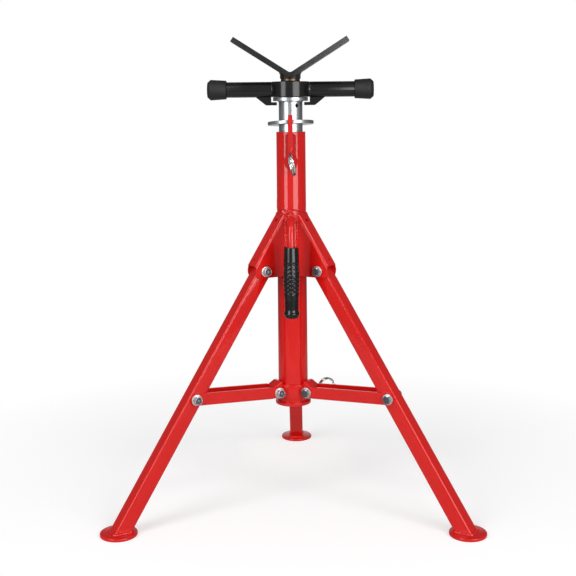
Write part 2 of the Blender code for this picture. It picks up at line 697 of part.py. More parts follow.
def make_nut(name, material, parent, location, rotation, grip, bored):
    """Washer, hexagon and nylon collar; bored through for the bolt or, on a
    stub, filled by its own thread end."""
    face, seat, top = nut_profile(grip)
    radius = WASHER_DIAMETER / 2
    washer = turned([(radius, face), (radius, seat)], SMALL_SIDES)
    nut = add(name, washer, material, parent, location, rotation)
    upright = Matrix.Rotation(-math.pi / 2, 4, "X")
    nut.data.transform(upright)
    bevel = NUT_COLLAR_HEIGHT / 3
    body = loft([hex_loop(seat - WASHER_THICKNESS / 2), hex_loop(top - bevel), hex_loop(top, bevel)])
    collar_radius = NUT_COLLAR_DIAMETER / 2
    rim = top + NUT_COLLAR_HEIGHT
    ring_profile = [(collar_radius, seat), (collar_radius, rim - bevel), (collar_radius - bevel, rim)]
    ring = turned(ring_profile, SMALL_SIDES)
    parts = [("_hexagon", body, unite), ("_collar", ring, unite)]
    if bored:
        hole = BOLT_DIAMETER / 2 + SEAT_GAP
        drill = turned([(hole, face - CUT_OVERRUN), (hole, rim + CUT_OVERRUN)], HOLE_SIDES)
        parts.append(("_bore", drill, cut))
    else:
        stub = BOLT_DIAMETER / 2
        tip = rim + BOLT_END_BEYOND_NUT
        inner = CHANNEL_GAP
        stub_profile = [(stub, inner), (stub, tip - BOLT_END_CHAMFER), (stub - BOLT_END_CHAMFER, tip)]
        parts.append(("_thread", turned(stub_profile, HOLE_SIDES), unite))
    for label, tool, action in parts:
        bmesh.ops.transform(tool, matrix=upright, verts=tool.verts)
        action(nut, name + label, tool)


def bolt_tip(grip):
    """How far along its axis a through bolt ends, past its nut."""
    return nut_profile(grip)[2] + NUT_COLLAR_HEIGHT + BOLT_END_BEYOND_NUT


def add_through_bolt(place, side, material, parent, location, rotation, grip):
    """A bolt right through a pivot, with its lock nut."""
    bolt = "%s_bolt_%s" % (place, side)
    make_bolt(bolt, material, parent, location, rotation, grip, -grip - WASHER_THICKNESS, bolt_tip(grip))
    make_nut("%s_nut_%s" % (place, side), material, parent, location, rotation, grip, bored=True)


def add_split_bolt(place, side, material, parent, location, rotation, grip):
    """The two outer ends of the brace's bolt on the leg, which ride on the brace."""
    bolt = "%s_bolt_%s" % (place, side)
    make_bolt(bolt, material, parent, location, rotation, grip, -grip - WASHER_THICKNESS, -CHANNEL_GAP)
    make_nut("%s_nut_%s" % (place, side), material, parent, location, rotation, grip, bored=False)


def make_handle_rod(paint, column):
    """Rod out from the column, bent down through a right angle into the grip."""
    end = GRIP_TOP - GRIP_LENGTH + GRIP_END_COVER + SEAT_GAP
    bend_top = ROD_HEIGHT - ROD_BEND_RADIUS
    path = [Vector((COLUMN_RADIUS - ROD_DIAMETER / 4, 0, ROD_HEIGHT))]
    steps = 8
    for step in range(steps + 1):
        angle = math.pi / 2 * (1 - step / steps)
        x = ROD_REACH - ROD_BEND_RADIUS + ROD_BEND_RADIUS * math.cos(angle)
        path.append(Vector((x, 0, bend_top + ROD_BEND_RADIUS * math.sin(angle))))
    path.append(Vector((ROD_REACH, 0, end)))
    mesh = swept(path, ROD_DIAMETER / 2, HOLE_SIDES)
    rod = add("handle_rod", mesh, paint, column, rotation=(0, 0, FRONT_AZIMUTH))
    low, high = ROD_HEIGHT - ROD_DIAMETER, ROD_HEIGHT + ROD_DIAMETER
    cut_upright(rod, "handle_rod_cope", COLUMN_RADIUS + SEAT_GAP, low, high)
    return rod


def make_hand_grip(plastic, rod):
    """Moulded grip, waisted near its flared lower end, bored for the rod."""
    bottom = GRIP_TOP - GRIP_LENGTH
    bore = ROD_DIAMETER / 2 + SEAT_GAP
    floor = bottom + GRIP_END_COVER
    profile = [(bore, floor), (bore, GRIP_TOP)]
    for down_share, width_share in GRIP_PROFILE_SHARES:
        profile.append((GRIP_DIAMETER / 2 * width_share, GRIP_TOP - GRIP_LENGTH * down_share))
    add("hand_grip", turned(profile, MEDIUM_SIDES), plastic, rod, (ROD_REACH, 0, 0))


def make_inner_tube(zinc, column):
    """Sliding tube with the key screw's hole and the transport lock hole."""
    inner = TUBE_RADIUS - TUBE_WALL
    wall = [(inner, TUBE_BOTTOM), (TUBE_RADIUS, TUBE_BOTTOM), (TUBE_RADIUS, TUBE_TOP), (inner, TUBE_TOP)]
    tube = add("inner_tube", turned(wall, ROUND_SIDES, hollow=True), zinc, column)
    far = TUBE_RADIUS + CUT_OVERRUN
    key_hole = KEY_DIAMETER / 2 + SEAT_GAP
    cut_outwards(tube, "key_screw_hole", key_hole, 0, far, (0, 0, KEY_HEIGHT), KEY_AZIMUTH)
    pin_hole = PIN_DIAMETER / 2 + PIN_HOLE_CLEARANCE
    cut_outwards(tube, "transport_hole", pin_hole, 0, far, (0, 0, TRANSPORT_HOLE_HEIGHT), FRONT_AZIMUTH)
    return tube


def make_tube_flange(zinc, tube):
    """Flange on the inner tube, which the nut turns on and the hooks reach under."""
    inner = SCREW_RADIUS + 2 * SEAT_GAP
    outer = TUBE_FLANGE_DIAMETER / 2
    low, high = TUBE_FLANGE_BOTTOM, TUBE_FLANGE_TOP
    profile = [
        (inner, low), (outer - FLANGE_EDGE_BEVEL, low), (outer, low + FLANGE_EDGE_BEVEL),
        (outer, high - FLANGE_EDGE_BEVEL), (outer - FLANGE_EDGE_BEVEL, high), (inner, high),
    ]
    add("tube_flange", turned(profile, ROUND_SIDES, hollow=True), zinc, tube)


def make_key_screw(steel, tube):
    """Set screw through the tube's wall; its dog point runs in the keyway."""
    outer = TUBE_RADIUS - KEY_INSET
    body_start = TUBE_RADIUS - TUBE_WALL
    profile = [
        (KEY_DOG_DIAMETER / 2, body_start - KEY_DOG_LENGTH), (KEY_DOG_DIAMETER / 2, body_start),
        (KEY_DIAMETER / 2, body_start), (KEY_DIAMETER / 2, outer),
    ]
    body = turned_outwards(profile, SMALL_SIDES)
    add("key_screw", body, steel, tube, (0, 0, KEY_HEIGHT), (0, 0, KEY_AZIMUTH))


def make_lead_screw(steel, tube):
    """Lead screw, with a keyway that stops it from turning."""
    edge = SCREW_RADIUS - SCREW_CHAMFER
    profile = [
        (edge, SCREW_BOTTOM), (SCREW_RADIUS, SCREW_BOTTOM + SCREW_CHAMFER), (SCREW_RADIUS, SCREW_TOP),
    ]
    screw = add("lead_screw", turned(profile, ROUND_SIDES), steel, tube)
    half = KEYWAY_WIDTH / 2
    low = (SCREW_RADIUS - KEYWAY_DEPTH, -half, SCREW_BOTTOM - CUT_OVERRUN)
    high = (SCREW_RADIUS + CUT_OVERRUN, half, KEYWAY_TOP)
    cut(screw, "keyway", box(low, high), rotation=(0, 0, KEY_AZIMUTH))
    return screw


def make_nut_hub(black, tube):
    """Nut on the lead screw, which raises it when turned by its two arms."""
    inner = SCREW_RADIUS + SEAT_GAP
    outer = HUB_DIAMETER / 2
    edge = outer - HUB_CHAMFER
    profile = [
        (inner, HUB_BOTTOM), (edge, HUB_BOTTOM), (outer, HUB_BOTTOM + HUB_CHAMFER),
        (outer, HUB_TOP - HUB_CHAMFER), (edge, HUB_TOP), (inner, HUB_TOP),
    ]
    return add("nut_hub", turned(profile, ROUND_SIDES, hollow=True), black, tube)


def make_arm(side, azimuth, black, rubber, hub):
    """Tubular arm coped to the hub, its end cap, and the hook under it."""
    outer = ARM_DIAMETER / 2
    inner = outer - ARM_WALL
    start = HUB_DIAMETER / 2 - ARM_DIAMETER / 2
    wall = [(inner, start), (outer, start), (outer, ARM_REACH), (inner, ARM_REACH)]
    place, turn = (0, 0, ARM_HEIGHT), (0, 0, azimuth)
    arm = add("arm_" + side, turned_outwards(wall, MEDIUM_SIDES, hollow=True), black, hub, place, turn)
    cut_upright(arm, "arm_cope_" + side, HUB_DIAMETER / 2 + SEAT_GAP, -ARM_DIAMETER, ARM_DIAMETER)
    bore = outer + SEAT_GAP
    end = ARM_REACH + SEAT_GAP + CAP_END_WALL
    cup = [
        (bore, ARM_REACH + SEAT_GAP), (bore, CAP_MOUTH_REACH), (CAP_MOUTH_DIAMETER / 2, CAP_MOUTH_REACH),
        (CAP_DIAMETER / 2, end - CAP_EDGE_LENGTH), (CAP_FACE_DIAMETER / 2, end),
    ]
    add("arm_cap_" + side, turned_outwards(cup, MEDIUM_SIDES), rubber, hub, place, turn)
    make_hook(side, azimuth, black, hub)


def make_hook(side, azimuth, black, hub):
    """Plate under an arm; its lip reaches below the tube's flange and keeps the nut on."""
    inner = TUBE_FLANGE_DIAMETER / 2 + HOOK_FLANGE_CLEARANCE
    foot = ARM_HEIGHT - ARM_DIAMETER / 2
    lip_top = HOOK_BOTTOM + HOOK_LIP_THICKNESS
    outline = [
        (HOOK_LIP_REACH, HOOK_BOTTOM), (HOOK_HEEL_REACH, HOOK_BOTTOM), (HOOK_FOOT_REACH, foot),
        (HOOK_FOOT_REACH, ARM_HEIGHT), (inner, ARM_HEIGHT), (inner, lip_top), (HOOK_LIP_REACH, lip_top),
    ]
    mesh = plate(outline, -HOOK_THICKNESS / 2, HOOK_THICKNESS / 2)
    hook = add("hook_" + side, mesh, black, hub, rotation=(0, 0, azimuth))
    bed = ARM_DIAMETER / 2 + SEAT_GAP
    ends = [(bed, inner - CUT_OVERRUN), (bed, HOOK_FOOT_REACH + CUT_OVERRUN)]
    cut(hook, "hook_bed_" + side, turned_outwards(ends, MEDIUM_SIDES), (0, 0, ARM_HEIGHT))
    clear = HUB_DIAMETER / 2 + SEAT_GAP
    cut_upright(hook, "hook_clear_" + side, clear, HUB_BOTTOM - SEAT_GAP, HUB_TOP)


def v_underside(gap):
    """(x, z) corners of the V's underside, lowered by a gap, from left to right."""
    drop = (V_THICKNESS + gap) / math.cos(V_ANGLE)
    apex = V_APEX_HEIGHT - drop
    reach = BLOCK_DIAMETER
    rise = reach * math.tan(V_ANGLE)
    return [(-reach, apex + rise), (0, apex), (reach, apex + rise)]


def make_head_block(coat, screw):
    """Round block on the lead screw, its top cut to the V's underside."""
    neck, outer = BLOCK_NECK_DIAMETER / 2, BLOCK_DIAMETER / 2
    shoulder = BLOCK_BOTTOM + BLOCK_NECK_HEIGHT
    top = v_underside(0)[1][1] + BLOCK_TOP_ABOVE_APEX
    profile = [(neck, BLOCK_BOTTOM), (neck, shoulder), (outer, shoulder), (outer, top)]
    block = add("head_block", turned(profile, ROUND_SIDES), coat, screw)
    left, apex, right = v_underside(SEAT_GAP)
    above = top + CUT_OVERRUN
    outline = rounded([
        (*left, 0), (*apex, V_INNER_RADIUS + V_THICKNESS + SEAT_GAP), (*right, 0),
        (right[0], max(above, right[1] + CUT_OVERRUN), 0), (left[0], max(above, left[1] + CUT_OVERRUN), 0),
    ], steps=6)
    cut(block, "v_seat", plate(outline, -BLOCK_DIAMETER, BLOCK_DIAMETER))
    return block


def make_v_head(coat, screw):
    """Flat bar bent to a V, which the pipe rests in."""
    along = Vector((math.cos(V_ANGLE), math.sin(V_ANGLE))) * V_ARM_LENGTH
    across = Vector((math.sin(V_ANGLE), -math.cos(V_ANGLE))) * V_THICKNESS
    inner_tip = Vector((0, V_APEX_HEIGHT)) + along
    outer_tip = inner_tip + across
    apex = v_underside(0)[1]
    edge = V_THICKNESS / 12
    outline = rounded([
        (0, V_APEX_HEIGHT, V_INNER_RADIUS), (*inner_tip, edge), (*outer_tip, edge),
        (*apex, V_INNER_RADIUS + V_THICKNESS),
        (-outer_tip.x, outer_tip.y, edge), (-inner_tip.x, inner_tip.y, edge),
    ], steps=6)
    add("v_head", plate(outline, -V_WIDTH / 2, V_WIDTH / 2), coat, screw)


def make_lock_ring(zinc, column):
    """Loose ring on the inner tube, hinged by its notch in the tab's slot."""
    inner = TUBE_RADIUS + LOCK_RING_CLEARANCE
    outer = LOCK_RING_DIAMETER / 2
    edge = outer - LOCK_RING_BEVEL
    high = LOCK_RING_THICKNESS
    profile = [
        (inner, 0), (edge, 0), (outer, LOCK_RING_BEVEL),
        (outer, high - LOCK_RING_BEVEL), (edge, high), (inner, high),
    ]
    to_fulcrum = Vector((0, LOCK_RING_NOTCH_DEPTH - outer, 0))
    mesh = turned(profile, ROUND_SIDES, hollow=True)
    bmesh.ops.translate(mesh, vec=-to_fulcrum, verts=mesh.verts)
    lift_axis = radial(1, 0, LOCK_RING_LIFT_AXIS)
    tilt = Matrix.Rotation(-LOCK_RING_TILT, 3, lift_axis)
    middle = Vector((0, 0, LOCK_RING_HEIGHT))
    fulcrum = middle + tilt @ (to_fulcrum - Vector((0, 0, high / 2)))
    ring = add("lock_ring", mesh, zinc, column, fulcrum, tilt.to_euler())
    half = LOCK_RING_NOTCH_WIDTH / 2
    notch = box((-half, -LOCK_RING_NOTCH_DEPTH - CUT_OVERRUN, -CUT_OVERRUN), (half, 0, high + CUT_OVERRUN))
    cut(ring, "lock_ring_notch", notch)


def make_ring_tab(paint, column):
    """Plate on edge, spread at its base by welds, with a slot for the lock ring."""
    foot = UPPER_PIN_HEIGHT
    inner = COLUMN_RADIUS - COLUMN_WALL / 2
    outline = rounded([
        (inner, foot, 0), (TAB_LOWER_REACH, foot, 0), (TAB_OUTER_REACH, TAB_FLARE_HEIGHT, 0),
        (TAB_OUTER_REACH, TAB_TOP, TAB_CORNER_RADIUS), (TAB_INNER_REACH, TAB_TOP, TAB_CORNER_RADIUS / 2),
        (TAB_INNER_REACH, COLUMN_TOP, 0), (inner, COLUMN_TOP, 0),
    ])
    half = TAB_THICKNESS / 2
    tab = add("ring_tab", plate(outline, -half, half), paint, column, rotation=(0, 0, FRONT_AZIMUTH))
    wide = TAB_BASE_WIDTH / 2
    section = [
        (inner, -wide), (COLUMN_RADIUS, -wide), (TAB_BASE_REACH, -half),
        (TAB_BASE_REACH, half), (COLUMN_RADIUS, wide), (inner, wide),
    ]
    shoulder = TAB_BASE_TOP - TAB_SHOULDER
    levels = ((foot, 1.0), (shoulder, 1.0), (TAB_BASE_TOP, half / wide))
    base = loft([[Vector((x, y * share, z)) for x, y in section] for z, share in levels])
    unite(tab, "tab_welds", base)
    cut_upright(tab, "tab_cope", COLUMN_RADIUS + SEAT_GAP, foot - CUT_OVERRUN, COLUMN_TOP + CUT_OVERRUN)
    slot_end = LOCK_RING_DIAMETER / 2 - LOCK_RING_NOTCH_DEPTH + TAB_SLOT_END_CLEARANCE
    slot_top = TAB_SLOT_BOTTOM + TAB_SLOT_HEIGHT
    slot = box((COLUMN_RADIUS - CUT_OVERRUN, -wide, TAB_SLOT_BOTTOM), (slot_end, wide, slot_top))
    cut(tab, "ring_slot", slot)
    bed = BOSS_DIAMETER / 2 + SEAT_GAP
    boss_bed = turned_outwards([(bed, 0), (bed, UPPER_BOSS_REACH + CUT_OVERRUN)], MEDIUM_SIDES)
    cut(tab, "tab_boss_bed", boss_bed, (0, 0, UPPER_PIN_HEIGHT))


def make_pin_boss(name, paint, parent, azimuth, height, wall_radius, reach):
    """Round boss coped to the wall it is welded to, with the spring's pocket inside."""
    outer, pocket = BOSS_DIAMETER / 2, POCKET_DIAMETER / 2
    hole = PIN_DIAMETER / 2 + PIN_HOLE_CLEARANCE
    start = wall_radius - BOSS_DIAMETER / 4
    front = reach - BOSS_FRONT_WALL
    profile = [
        (pocket, start), (outer, start), (outer, reach - BOSS_EDGE_BEVEL), (outer - BOSS_EDGE_BEVEL, reach),
        (hole, reach), (hole, front), (pocket, front),
    ]
    mesh = turned_outwards(profile, MEDIUM_SIDES, hollow=True)
    boss = add(name, mesh, paint, parent, (0, 0, height), (0, 0, azimuth))
    cut_upright(boss, name + "_cope", wall_radius + SEAT_GAP, -BOSS_DIAMETER, BOSS_DIAMETER)


def make_plunger(name, zinc, parent, azimuth, height, roll, tip, hole_reach):
    """Spring pin: nose, shoulder for the spring, and a cross hole for the ring."""
    radius, shoulder = PIN_DIAMETER / 2, PIN_SHOULDER_DIAMETER / 2
    step = PIN_NOSE_LENGTH + PIN_SHOULDER_THICKNESS
    end = hole_reach - tip + PIN_END_BEYOND_HOLE
    profile = [
        (radius - PIN_TIP_CHAMFER, 0), (radius, PIN_TIP_CHAMFER), (radius, PIN_NOSE_LENGTH),
        (shoulder, PIN_NOSE_LENGTH), (shoulder, step), (radius, step),
        (radius, end - PIN_TIP_CHAMFER), (radius - PIN_TIP_CHAMFER, end),
    ]
    place = radial(tip, height, azimuth)
    mesh = turned_outwards(profile, SMALL_SIDES)
    plunger = add(name, mesh, zinc, parent, place, (roll, 0, azimuth))
    drill = PULL_RING_WIRE / 2 + PULL_RING_HOLE_CLEARANCE
    tool = turned([(drill, -PIN_DIAMETER), (drill, PIN_DIAMETER)], HOLE_SIDES)
    cut(plunger, name + "_cross_hole", tool, (hole_reach - tip, 0, 0), (0, PULL_RING_DROOP, 0))
    return plunger


def make_pull_ring(name, zinc, plunger, out):
    """Split ring through the plunger's cross hole, drooping a little."""
    wire = PULL_RING_WIRE / 2
    radius = PULL_RING_DIAMETER / 2 - wire
    start = PULL_RING_SPLIT / radius / 2
    steps = 28
    path = []
    for step in range(steps + 1):
        angle = start + (math.tau - 2 * start) * step / steps
        path.append(Vector((radius + radius * math.cos(angle), 0, radius * math.sin(angle))))
    add(name, swept(path, wire, 6), zinc, plunger, (out, 0, 0), (0, PULL_RING_DROOP, 0))


def make_spring(name, steel, parent, azimuth, height, near, far):
    """Coil spring between the plunger's shoulder and the boss's front wall."""
    wire = SPRING_WIRE / 2
    radius = SPRING_DIAMETER / 2 - wire
    start, end = near + SEAT_GAP + wire, far - SEAT_GAP - wire
    steps = 10
    path = []
    for step in range(SPRING_TURNS * steps + 1):
        angle = math.tau * step / steps
        x = start + (end - start) * step / (SPRING_TURNS * steps)
        path.append(Vector((x, radius * math.cos(angle), radius * math.sin(angle))))
    add(name, swept(path, wire, 6), steel, parent, (0, 0, height), (0, 0, azimuth))


def add_spring_pin(label, paint, zinc, steel, parent, azimuth, height, roll, wall_radius, tip, reach, inset):
    """One locking pin: boss, plunger, spring and pull ring."""
    make_pin_boss(label + "_pin_boss", paint, parent, azimuth, height, wall_radius, reach)
    hole_reach = reach + PIN_HOLE_BEYOND_BOSS + inset
    plunger = make_plunger(label + "_pin", zinc, parent, azimuth, height, roll, tip, hole_reach)
    make_pull_ring(label + "_pull_ring", zinc, plunger, hole_reach - tip)
    near = tip + PIN_NOSE_LENGTH + PIN_SHOULDER_THICKNESS
    make_spring(label + "_pin_spring", steel, parent, azimuth, height, near, reach - BOSS_FRONT_WALL)


def make_frame(paint, plated):
    """Column with everything welded or bolted to it, and the three legs."""
    column = make_column(paint)
    make_base_flange(paint, column)
    for side, azimuth in LEG_AZIMUTHS.items():
        make_bracket(side, azimuth, paint, column)
        leg = make_leg(side, azimuth, paint, column)
        make_foot(side, paint, leg)
        pivot = radial(LEG_PIVOT_RADIUS, LEG_PIVOT_HEIGHT, azimuth)
        add_through_bolt("leg_pivot", side, plated, column, pivot, (0, 0, azimuth), BRACKET_HALF_WIDTH)
    return column


def make_braces(paint, plated, collar):
    """The three braces with the bolts at both their ends."""
    for side, azimuth in LEG_AZIMUTHS.items():
        brace, length = make_brace(side, azimuth, paint, collar)
        lug = radial(LUG_PIVOT_RADIUS, 0, azimuth)
        add_through_bolt("brace_inner", side, plated, collar, lug, (0, 0, azimuth), BRACE_HALF_WIDTH)
        add_split_bolt("brace_outer", side, plated, brace, (length, 0, 0), (0, 0, 0), BRACE_HALF_WIDTH)


def make_head(zinc, black, rubber, coat, screw_steel, column):
    """Inner tube with the nut, its arms, the lead screw and the V head."""
    tube = make_inner_tube(zinc, column)
    make_tube_flange(zinc, tube)
    make_key_screw(screw_steel, tube)
    hub = make_nut_hub(black, tube)
    for side, azimuth in (("right", 0), ("left", math.pi)):
        make_arm(side, azimuth, black, rubber, hub)
    screw = make_lead_screw(screw_steel, tube)
    make_head_block(coat, screw)
    make_v_head(coat, screw)


def main():
    clear_scene()
    paint, zinc, plated = red_powder_coat(), bright_zinc(), plated_bolt()
    steel = spring_steel()
    column = make_frame(paint, plated)
    rod = make_handle_rod(paint, column)
    make_hand_grip(grip_plastic(), rod)
    make_ring_tab(paint, column)
    make_lock_ring(zinc, column)
    upper = (FRONT_AZIMUTH, UPPER_PIN_HEIGHT, UPPER_RING_ROLL, COLUMN_RADIUS, TUBE_RADIUS + SEAT_GAP)
    add_spring_pin("upper", paint, zinc, steel, column, *upper, UPPER_BOSS_REACH, 0)
    collar = make_collar(paint, column)
    lower = (LOWER_PIN_AZIMUTH, -LOWER_PIN_BELOW_PIVOT, 0, COLLAR_RADIUS, COLUMN_RADIUS + SEAT_GAP)
    add_spring_pin("lower", paint, zinc, steel, collar, *lower, LOWER_BOSS_REACH, PIN_ENGAGE_TRAVEL)
    make_braces(paint, plated, collar)
    make_head(zinc, gloss_black(), black_rubber(), charcoal_coat(), bare_screw(), column)


main()
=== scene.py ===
import math

import bmesh
import bpy
import numpy as np
from mathutils import Matrix


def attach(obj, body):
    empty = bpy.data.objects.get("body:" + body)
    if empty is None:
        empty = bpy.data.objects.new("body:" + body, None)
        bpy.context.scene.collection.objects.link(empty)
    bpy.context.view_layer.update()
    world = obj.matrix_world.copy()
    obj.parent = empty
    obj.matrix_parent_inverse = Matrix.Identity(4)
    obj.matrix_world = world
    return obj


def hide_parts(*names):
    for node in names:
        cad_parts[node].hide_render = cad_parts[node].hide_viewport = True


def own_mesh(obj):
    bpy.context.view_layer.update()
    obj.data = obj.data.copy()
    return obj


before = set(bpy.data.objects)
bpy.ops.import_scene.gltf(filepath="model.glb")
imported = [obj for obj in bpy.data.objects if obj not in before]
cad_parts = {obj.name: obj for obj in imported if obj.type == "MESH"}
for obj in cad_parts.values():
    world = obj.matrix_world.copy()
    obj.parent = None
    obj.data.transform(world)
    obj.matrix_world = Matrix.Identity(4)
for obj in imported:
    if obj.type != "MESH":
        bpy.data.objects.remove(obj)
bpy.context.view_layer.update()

# Camera: a short telephoto 1.8 m in front of the stand, level with its lock
# ring, whose view is slid down to take in the feet.
VIEW_TURN = 0.0212
VIEW_POSITION = (-0.0047, -1.7831, 0.6851)
VIEW_PITCH = 0.0175
VIEW_ROLL = -0.00957
view = bpy.data.cameras.new("view")
view.lens = 64.29
view.sensor_width = 36.0
view.shift_y = -0.2891
camera = bpy.data.objects.new("view", view)
heading = Matrix.Rotation(VIEW_TURN, 4, "Z")
aim = Matrix.Rotation(math.pi / 2 - VIEW_PITCH, 4, "X") @ Matrix.Rotation(VIEW_ROLL, 4, "Z")
camera.matrix_world = heading @ Matrix.Translation(VIEW_POSITION) @ aim
link = bpy.context.scene.collection.objects.link
link(camera)
bpy.context.scene.camera = camera
bpy.context.scene.view_settings.view_transform = "Standard"


# Studio: a sheet of white paper on the floor, a white backdrop, and on each side of
# the camera a softbox with a smaller one high above it. The room is grey in reflections.
class Value:
    """A number that varies over a surface. Arithmetic on it adds Math nodes."""

    def __init__(self, finish, socket):
        self.finish, self.socket = finish, socket

    def maths(self, operation, *terms):
        return self.finish.node("ShaderNodeMath", {"operation": operation}, dict(enumerate(terms)))

    __sub__ = lambda self, other: self.maths("SUBTRACT", self, other)
    __rsub__ = lambda self, other: self.maths("SUBTRACT", other, self)
    __add__ = __radd__ = lambda self, other: self.maths("ADD", self, other)
    __mul__ = __rmul__ = lambda self, other: self.maths("MULTIPLY", self, other)
    __pow__ = lambda self, other: self.maths("POWER", self, other)

    def above(self, edge, width):
        """0 below the edge, 1 above it, with a soft step of a width."""
        sharp = self.maths("MULTIPLY_ADD", self, 1 / width, 0.5 - edge / width)
        return self.finish.node("ShaderNodeClamp", {}, {0: sharp})


class Finish:
    """A tree of shader nodes, on a material or on the world."""

    def __init__(self, tree):
        self.tree = tree

    def feed(self, socket, value):
        if isinstance(value, Value):
            self.tree.links.new(value.socket, socket)
        else:
            socket.default_value = value

    def node(self, kind, settings, sockets, output=0):
        """A node of a type, its settings first and then its sockets' values or links."""
        made = self.tree.nodes.new(kind)
        for name, setting in settings.items():
            setattr(made, name, setting)
        for place, value in sockets.items():
            self.feed(made.inputs[place], value)
        return Value(self, made.outputs[output])

    def place(self):
        return self.node("ShaderNodeTexCoord", {}, {}, "Object")

    def noise(self, scale, detail=2.0, stretch=None):
        """Noise on Object coordinates, which a stretch scales along each axis."""
        where = self.place()
        if stretch:
            where = self.node("ShaderNodeMapping", {}, {"Vector": where, "Scale": stretch})
        return self.node("ShaderNodeTexNoise", {}, {"Vector": where, "Scale": scale, "Detail": detail})

    def mix(self, share, low, high):
        """One colour fading into another as the share goes from 0 to 1."""
        sockets = {0: share, 6: low, 7: high}
        return self.node("ShaderNodeMix", {"data_type": "RGBA"}, sockets, 2)

    def bump(self, height, strength, distance):
        sockets = {"Height": height, "Strength": strength, "Distance": distance}
        return self.node("ShaderNodeBump", {}, sockets)

    def mark(self, title):
        """How much of a mark the points of a piece carry, from 0 to 1."""
        return self.node("ShaderNodeAttribute", {"attribute_name": title}, {}, "Fac")

    def dress(self, shader, sockets):
        """A shader's sockets by name, each with its value."""
        for name, value in sockets.items():
            self.feed(shader.inputs[name], value)


ROOM_LIGHT = 0.21
SKY_LIGHT = 0.12
ROOM_GLOSS = 0.13
FRONT_GLOSS = 0.27
BACKDROP_EDGE = (0.94, 0.08)
FLOOR_HALF = 1.0
FLOOR_GLOW = 0.50
FLOOR_FADE = (0.62, 0.5)
# Degrees aside from the front, levels, distance, width, radiance
SOFTBOXES = {
    "softbox_left": (-42, (0.22, 2.2), 2.3, 1.06, 4.2),
    "softbox_right": (35, (0.05, 1.5), 2.3, 1.56, 4.4),
    "high_left": (-46, (2.2, 3.2), 2.2, 1.0, 7.5),
    "high_right": (46, (2.2, 3.2), 2.2, 1.0, 7.5),
}


def light_room():
    """White wherever the camera looks; in reflections white behind the stand, grey
    beside it and lighter towards the camera; its soft light comes more from above."""
    world = bpy.data.worlds.new("studio")
    bpy.context.scene.world = world
    world.use_nodes = True
    room = Finish(world.node_tree)
    path = room.node("ShaderNodeLightPath", {}, {}).socket.node
    seen = Value(room, path.outputs["Is Camera Ray"])
    mirrored = Value(room, path.outputs["Is Glossy Ray"]) + Value(room, path.outputs["Is Transmission Ray"])
    direction = room.node("ShaderNodeTexCoord", {}, {}, "Generated")
    depth = room.node("ShaderNodeSeparateXYZ", {}, {0: direction}, "Y")
    height = room.node("ShaderNodeSeparateXYZ", {}, {0: direction}, "Z")
    ahead = (0.5 - depth * 0.5) ** 1.5
    gloss = ROOM_GLOSS + ahead * FRONT_GLOSS + depth.above(*BACKDROP_EDGE) * (1 - ROOM_GLOSS)
    soft = ROOM_LIGHT + height * SKY_LIGHT
    level = seen + (1 - seen) * (mirrored * gloss + (1 - mirrored) * soft)
    room.feed(world.node_tree.nodes["Background"].inputs["Strength"], level)
    world.node_tree.nodes["Background"].inputs["Color"].default_value = (1, 1, 1, 1)


def add_softbox(name, aside, levels, distance, width, radiance):
    """An upright rectangular lamp between two levels, turned towards the column's axis."""
    azimuth = math.radians(aside - 90)
    low, high = levels
    data = bpy.data.lights.new(name, "AREA")
    data.shape = "RECTANGLE"
    data.size, data.size_y = width, high - low
    data.energy = radiance * math.pi * width * (high - low)
    lamp = bpy.data.objects.new(name, data)
    lamp.location = (distance * math.cos(azimuth), distance * math.sin(azimuth), (low + high) / 2)
    lamp.rotation_euler = (math.pi / 2, 0, azimuth + math.pi / 2)
    link(lamp)


def new_finish(name, metallic):
    """A material with its tree and its Principled shader."""
    material = bpy.data.materials.new(name)
    material.use_nodes = True
    shader = material.node_tree.nodes["Principled BSDF"]
    shader.inputs["Metallic"].default_value = metallic
    return material, Finish(material.node_tree), shader


def add_floor():
    """A white floor that shows the stand's shadow near it and fades to pure white further out."""
    mesh = bpy.data.meshes.new("floor")
    corners = FLOOR_HALF * np.array([(-1, -1, 0), (1, -1, 0), (1, 1, 0), (-1, 1, 0)], float)
    mesh.from_pydata(corners.tolist(), [], [(0, 1, 2, 3)])
    floor = bpy.data.objects.new("floor", mesh)
    link(floor)
    material, paint, shader = new_finish("white_floor", 0.0)
    paint.dress(shader, {"Base Color": (0.62, 0.62, 0.62, 1), "Roughness": 0.9, "Specular IOR Level": 0.0})
    lit = Value(paint, shader.outputs[0])
    seen = paint.node("ShaderNodeLightPath", {}, {})
    away = paint.node("ShaderNodeVectorMath", {"operation": "LENGTH"}, {0: paint.place()}, "Value")
    glow = paint.node("ShaderNodeEmission", {}, {"Color": (1, 1, 1, 1), "Strength": FLOOR_GLOW})
    white = paint.node("ShaderNodeEmission", {}, {"Color": (1, 1, 1, 1), "Strength": 1.0})
    near = paint.node("ShaderNodeAddShader", {}, {0: lit, 1: glow})
    far = paint.node("ShaderNodeMixShader", {}, {0: away.above(*FLOOR_FADE), 1: near, 2: white})
    shown = paint.node("ShaderNodeMixShader", {}, {0: seen, 1: lit, 2: far})
    paint.feed(material.node_tree.nodes["Material Output"].inputs["Surface"], shown)
    mesh.materials.append(material)


light_room()
for name, softbox in SOFTBOXES.items():
    add_softbox(name, *softbox)
add_floor()


# Column: a 50.8 mm steel tube with 4.2 mm walls, powder coated red, drilled at
# the front for the upper pin and at the right rear for the lower pin's two places.
COLUMN_RADIUS = 0.0254
COLUMN_BORE = 0.0212
COLUMN_ENDS = (0.1655, 0.6363)
COLUMN_LIP = 0.0007
FRONT = math.radians(-90.0)
LOWER_PIN_AZIMUTH = math.radians(30.0)
